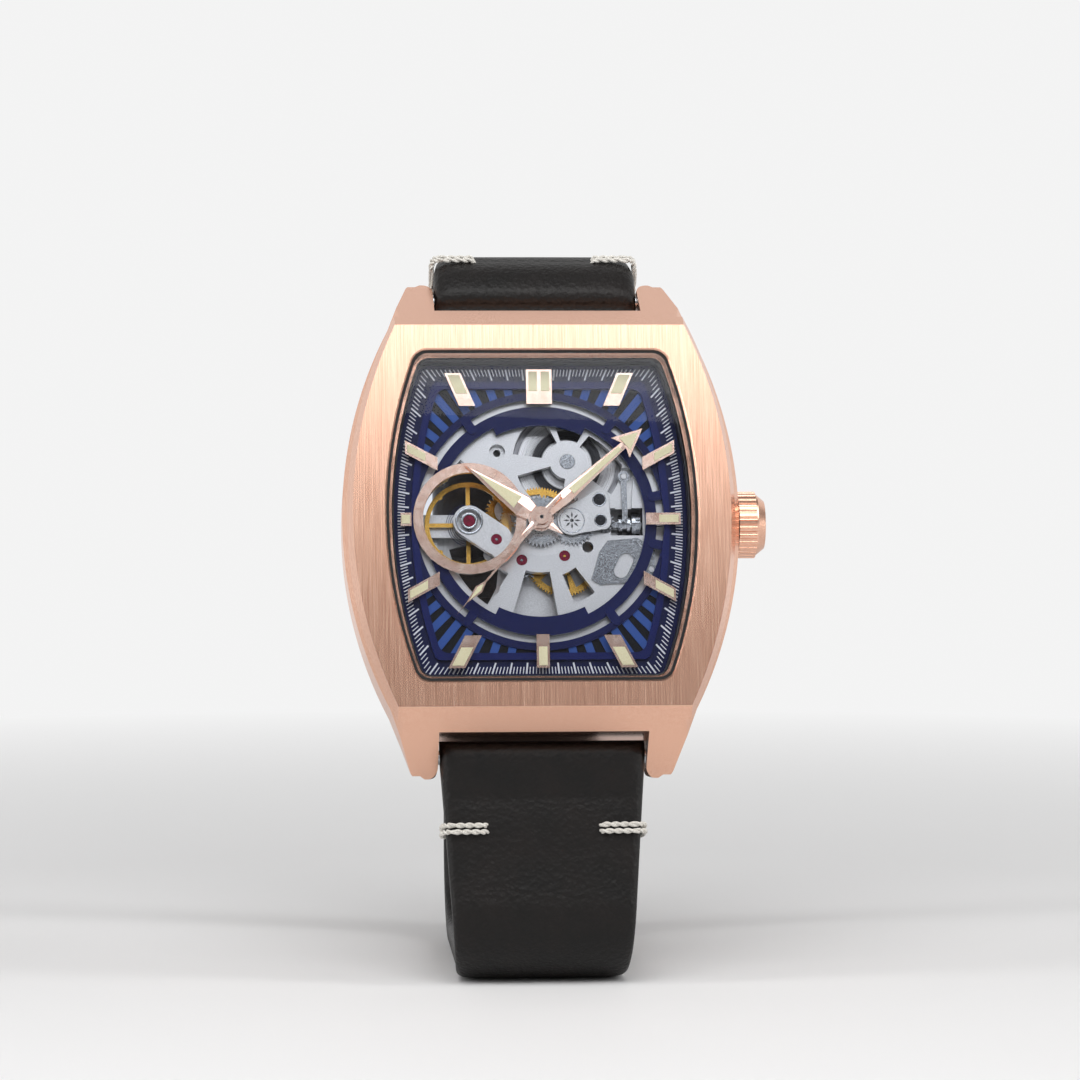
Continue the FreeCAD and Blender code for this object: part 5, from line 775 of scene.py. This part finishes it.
class WATCH_OT_materials(bpy.types.Operator):
    """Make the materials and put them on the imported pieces"""
    bl_idname = "watch.materials"
    bl_label = "Materials"

    def execute(self, context):
        made = make_materials(context.scene.watch_look)
        for finish, nodes in CAD_FINISH.items():
            for name in nodes:
                mesh = frame["nodes"][name].data
                mesh.materials.clear()
                mesh.materials.append(made[finish])
        return {"FINISHED"}


class WATCH_OT_straps(bpy.types.Operator):
    """Leather strap halves, padded next to the lugs"""
    bl_idname = "watch.straps"
    bl_label = "Straps"

    def execute(self, context):
        lower = strap_piece("leather_lower", *lower_route(), lower_widths)
        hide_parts("strap_lower")
        upper = strap_piece("leather_upper", *upper_route(), upper_widths)
        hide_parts("strap_upper")
        return {"FINISHED"}


class WATCH_OT_stitches(bpy.types.Operator):
    """White double-thread side stitches near the lugs"""
    bl_idname = "watch.stitches"
    bl_label = "Stitches"

    def execute(self, context):
        for label, (route, heading), widths in (("lower", lower_route(), lower_widths),
                                                ("upper", upper_route(), upper_widths)):
            s = np.concatenate([[0], np.cumsum(np.linalg.norm(np.diff(route, axis=0), axis=1))])
            at = int(np.searchsorted(s, 9.5 if label == "lower" else 6.0))
            width, thick = (size[at] for size in band_sizes(route, EYE, HALF, widths))
            parts = []
            for side in (-1, 1):
                parts += stitch(route[at], heading[at], width, thick, side)
            mesh_piece("stitch_" + label, *merged(parts), "thread", "case", "strap_leather")
        return {"FINISHED"}


class WATCH_OT_keepers(bpy.types.Operator):
    """Leather loops that hold the strap's tail"""
    bl_idname = "watch.keepers"
    bl_label = "Keepers"

    def execute(self, context):
        for node, body in (("fixed_keeper", "case"), ("sliding_keeper", "sliding_keeper")):
            low, high = corners(node)
            points, faces = keeper_loop(low, high, high[2] - low[2])
            piece = mesh_piece("leather_" + node, points, faces, "leather_keeper", body, "strap_leather")
            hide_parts(node)
        return {"FINISHED"}


class WATCH_OT_lume(bpy.types.Operator):
    """Cream lume in the hour markers and hands"""
    bl_idname = "watch.lume"
    bl_label = "Lume"

    def execute(self, context):
        parts = []
        for hour, (inner, outer, width) in MARKERS.items():
            strips = ((-0.66, 0.95), (0.66, 0.95)) if hour == 12 else ((0.0, width - 0.42),)
            start = 0.12 if hour == 9 else 0.36
            for offset, strip in strips:
                outline = bar_outline(inner, outer, strip, start, 0.95, offset)
                parts.append(slab(outline, MARKER_TOP - 0.05, MARKER_TOP + 0.07, 0.08))
        mesh_piece("marker_lume", *merged(parts), "lume", "case", "rose_gold_hand", False)
        hour = pointing([(-0.78, 3.0), (0.78, 3.0), (0.0, 8.8)], HOUR_ANGLE)
        hour = slab(hour, *HOUR_LUME, LUME_EDGE)
        mesh_piece("hour_hand_lume", *hour, "lume", "hours", "rose_gold_hand", False)
        blade = pointing([(-0.42, 4.2), (0.42, 4.2), (0.24, 11.6), (-0.24, 11.6)], MINUTE_ANGLE)
        tip = pointing([(-0.95, 12.1), (0.95, 12.1), (0.0, 14.1)], MINUTE_ANGLE)
        lume = merged([slab(blade, *MINUTE_LUME, LUME_EDGE), slab(tip, *ARROW_LUME, LUME_EDGE)])
        mesh_piece("minute_hand_lume", *lume, "lume", "minutes", "rose_gold_hand", False)
        drop = pointing([(-0.28, 10.3), (0.0, 9.6), (0.28, 10.3), (0.0, 12.0)], SECOND_ANGLE)
        drop = slab(drop, *SECONDS_LUME, LUME_EDGE)
        mesh_piece("seconds_hand_lume", *drop, "lume", "seconds", "rose_gold_hand", False)
        return {"FINISHED"}


class WATCH_OT_hand_facets(bpy.types.Operator):
    """Ridged upper faces of the hands, and the dark pivot end in the middle"""
    bl_idname = "watch.hand_facets"
    bl_label = "Hand facets"

    def execute(self, context):
        hour = [ridge([(1.3, 0.85), (2.4, 1.17), (9.9, 0.03)], HOUR_ANGLE, HOUR_FACE, HOUR_CREST),
                ridge([(-2.85, 0.03), (-1.2, 0.44)], HOUR_ANGLE, HOUR_FACE, HOUR_TAIL_CREST)]
        mesh_piece("hour_hand_facets", *merged(hour), "hand_gold", "hours", "rose_gold_hand", False)
        minute = [ridge([(1.1, 0.57), (3.6, 0.73), (11.9, 0.37)], MINUTE_ANGLE, MINUTE_FACE, MINUTE_CREST),
                  ridge([(-2.85, 0.03), (-1.0, 0.44)], MINUTE_ANGLE, MINUTE_FACE, MINUTE_TAIL_CREST)]
        mesh_piece("minute_hand_facets", *merged(minute), "hand_gold", "minutes", "rose_gold_hand", False)
        dot = turned((0.0, 0.0), [(0.02, 2.9), (0.2, 2.9), (0.2, 2.98), (0.02, 3.0)], 32)
        mesh_piece("seconds_pivot", *dot, "dark_steel", "seconds", "polished_steel")
        return {"FINISHED"}


class WATCH_OT_movement_details(bpy.types.Operator):
    """Shock setting round the balance jewel, and the cover over the minute wheel with its cut leaves, whose
    cuts and holes are filled with dark slabs of painted shade
    """
    bl_idname = "watch.movement_details"
    bl_label = "Movement details"

    def execute(self, context):
        balance = head_place("balance_swing")
        setting = [flat_ring(balance, inner, outer, -0.05, top) for inner, outer, top in SHOCK_RINGS]
        places = [(balance[0] + SHOCK_EAR_PLACE * math.cos(a), balance[1] + SHOCK_EAR_PLACE * math.sin(a))
                  for a in np.radians(SHOCK_EARS)]
        ears = [flat_ring(place, 0.1, 0.17, 0.0, 0.09) for place in places]
        mesh_piece("shock_setting", *merged(setting + ears), "steel", "case", "polished_steel")
        axis = head_place("minute_wheel_spin")
        (low_boss, low_radius), (high_boss, high_radius) = COVER_BOSSES
        rounds = ((axis, COVER_RADIUS, -180, -60), (low_boss, low_radius, -60, 20),
                  (high_boss, high_radius, 20, 110), (axis, COVER_RADIUS, 110, 180))
        outline = []
        for centre, radius, start, end in rounds:
            t = np.radians(np.linspace(start, end, 24, endpoint=False))
            outline.append(np.stack([centre[0] + radius * np.cos(t), centre[1] + radius * np.sin(t)], -1))
        cover = slab(np.concatenate(outline), *COVER_LEVELS, 0.02)
        mesh_piece("minute_cover", *cover, "nickel", "case", "nickel_plate", False)
        # painted shade: dark steel slabs fill the cover's holes, its eight leaf cuts and its middle, for the
        # shade seen in them
        low, high = CUT_LEVELS
        cut_shades = [turned(centre, [(0.01, low), (radius, low), (radius, high), (0.01, high)], 40)
                for centre, radius, _ in COVER_HOLES]
        for a in np.radians(np.arange(LEAF_COUNT) * 360 / LEAF_COUNT):
            turn = np.array([[math.cos(a), math.sin(a)], [-math.sin(a), math.cos(a)]])
            cut_shades.append(slab(LEAF @ turn + axis, low, high))
        cut_shades.append(turned(axis, [(0.01, low), (0.2, low), (0.2, high), (0.01, high)], 24))
        mesh_piece("minute_cover_cut_shades", *merged(cut_shades), "dark_steel", "case", "nickel_plate", False)
        rims = [flat_ring(centre, radius, rim, low, 0.9) for centre, radius, rim in COVER_HOLES]
        rims.append(flat_ring(axis, 1.25, 1.4, low, 0.89))
        mesh_piece("minute_cover_rims", *merged(rims), "steel", "case", "polished_steel")
        return {"FINISHED"}


class WATCH_OT_opening_wall(bpy.types.Operator):
    """Near-black wall between the dial's flange and the crystal, its black being painted shade for the gap
    there
    """
    bl_idname = "watch.opening_wall"
    bl_label = "Opening wall"

    def execute(self, context):
        wall = wall_along(opening_outline(*WALL_OUTLINE), WALL_THICKNESS, *WALL_LEVELS)
        # painted shade: the wall is near-black to stand for the shade in the gap between bezel and dial
        mesh_piece("opening_wall", *wall, "wall_black", "case", "blue_dial")
        return {"FINISHED"}


class WATCH_OT_minute_track(bpy.types.Operator):
    """White minute track printed on the dial's flange"""
    bl_idname = "watch.minute_track"
    bl_label = "Minute track"

    def execute(self, context):
        mesh_piece("minute_track", *merged(minute_track()), "tick_white", "case", "blue_dial", False)
        return {"FINISHED"}


class WATCH_OT_stage(bpy.types.Operator):
    """Floor, lights, world and camera"""
    bl_idname = "watch.stage"
    bl_label = "Stage"

    def execute(self, context):
        look = context.scene.watch_look
        scene = context.scene
        scene.view_settings.view_transform = "Standard"
        material, tree = new_material("floor_paper")
        place = add(tree, "TexCoord").outputs["Object"]
        value = grain(tree, place, (40.0,) * 3)
        shade = add(tree, "MapRange", {"Value": value, "To Min": look.floor_shade * 0.98,
                                       "To Max": look.floor_shade}).outputs["Result"]
        paper = add(tree, "BsdfPrincipled", {"Base Color": shade, "Roughness": 0.7}).outputs["BSDF"]
        pale = add(tree, "Emission", {"Color": (0.9, 0.9, 0.9, 1.0), "Strength": 1.0}).outputs["Emission"]
        away = add(tree, "VectorMath", {0: place}, operation="LENGTH").outputs["Value"]
        far = add(tree, "MapRange", {"Value": away, "From Min": 0.1, "From Max": 0.3}).outputs["Result"]
        share = add(tree, "Math", {0: background_rays(tree), 1: far}, operation="MULTIPLY").outputs["Value"]
        finish_material(tree, add(tree, "MixShader", {0: share, 1: paper, 2: pale}).outputs["Shader"])
        curve = np.linspace(0, math.pi / 2, 24)
        bend, start, reach, top = 0.25, 0.3, 2.0, 0.9
        depth = np.concatenate([[-1.2], start + bend * np.sin(curve), [start + bend]])
        rise = np.concatenate([[0.0], bend * (1 - np.cos(curve)), [top]])
        points = np.stack([np.stack([np.full_like(depth, x), depth, rise], -1) for x in (-reach, reach)])
        mesh = bpy.data.meshes.new("floor")
        mesh.from_pydata(points.reshape(-1, 3).tolist(), [],
                         grid_faces(2, len(depth), close_columns=False, flip=True).tolist())
        mesh.polygons.foreach_set("use_smooth", [True] * len(mesh.polygons))
        mesh.materials.append(material)
        floor = bpy.data.objects.new("floor", mesh)
        scene.collection.objects.link(floor)
        centre = Vector(HUB * MM)
        # name, azimuth and elevation in degrees, distance, width and height in metres, and watts
        lamps = (("key", -12, 66, 0.55, 0.5, 0.3, look.key_power), ("front", -4, 45, 0.26, 0.34, 0.14, 0.42),
                 ("left", -78, 20, 0.6, 0.1, 0.5, 1.0), ("right", 72, 25, 0.6, 0.1, 0.5, 1.1))
        for name, azimuth, elevation, distance, wide, tall, power in lamps:
            a, e = math.radians(azimuth), math.radians(elevation)
            out = Vector((math.sin(a) * math.cos(e), -math.cos(a) * math.cos(e), math.sin(e)))
            data = bpy.data.lights.new(name, "AREA")
            data.shape, data.size, data.size_y, data.energy = "RECTANGLE", wide, tall, power
            lamp = bpy.data.objects.new(name, data)
            lamp.location = centre + out * distance
            lamp.rotation_euler = (-out).to_track_quat("-Z", "Y").to_euler()
            scene.collection.objects.link(lamp)
        world = bpy.data.worlds.new("studio")
        scene.world = world
        world.use_nodes = True
        tree = world.node_tree
        tree.nodes.clear()
        soft = add(tree, "Background", {"Color": (0.24, 0.235, 0.235, 1.0)}).outputs[0]
        white = add(tree, "Background", {"Color": (0.93, 0.93, 0.93, 1.0)}).outputs[0]
        direction = add(tree, "TexCoord").outputs["Generated"]
        rise = add(tree, "SeparateXYZ", {"Vector": direction}).outputs["Z"]
        low = add(tree, "MapRange", {"Value": rise, "From Min": 0.12, "From Max": 0.22, "To Min": 1.0,
                                     "To Max": 0.0}).outputs["Result"]
        share = add(tree, "Math", {0: background_rays(tree), 1: low}, operation="MULTIPLY").outputs["Value"]
        mixed = add(tree, "MixShader", {0: share, 1: soft, 2: white}).outputs[0]
        add(tree, "OutputWorld", {"Surface": mixed})
        camera_data = bpy.data.cameras.new("camera")
        camera = bpy.data.objects.new("camera", camera_data)
        scene.collection.objects.link(camera)
        azimuth, elevation = math.radians(-3.8), math.radians(3.0)
        back = Vector((math.sin(azimuth) * math.cos(elevation), -math.cos(azimuth) * math.cos(elevation),
                       math.sin(elevation)))
        target = centre + Vector((0.0, 0.0, -1.93 * MM))
        camera.location = target + back * look.camera_distance
        camera.rotation_euler = (-back).to_track_quat("-Z", "Y").to_euler()
        seen_width = 0.1159
        camera_data.lens = camera_data.sensor_width * look.camera_distance / seen_width
        camera_data.clip_start = 0.01
        scene.camera = camera
        return {"FINISHED"}


class WATCH_PT_panel(bpy.types.Panel):
    """Lists the steps that dress the watch"""
    bl_idname = "WATCH_PT_panel"
    bl_label = "Watch"
    bl_space_type = "VIEW_3D"
    bl_region_type = "UI"
    bl_category = "Watch"

    def draw(self, context):
        for name in WatchLook.__annotations__:
            self.layout.prop(context.scene.watch_look, name)
        for step in STEPS:
            self.layout.operator(step.bl_idname)


STEPS = (WATCH_OT_materials, WATCH_OT_straps, WATCH_OT_stitches, WATCH_OT_keepers, WATCH_OT_lume,
         WATCH_OT_hand_facets, WATCH_OT_movement_details, WATCH_OT_opening_wall, WATCH_OT_minute_track,
         WATCH_OT_stage)
CLASSES = (WatchLook, *STEPS, WATCH_PT_panel)


def register():
    for item in CLASSES:
        bpy.utils.register_class(item)
    bpy.types.Scene.watch_look = bpy.props.PointerProperty(type=WatchLook)


def unregister():
    del bpy.types.Scene.watch_look
    for item in reversed(CLASSES):
        bpy.utils.unregister_class(item)


def main():
    register()
    for step in STEPS:
        group, name = step.bl_idname.split(".")
        getattr(getattr(bpy.ops, group), name)()


if __name__ == "__main__":
    main()
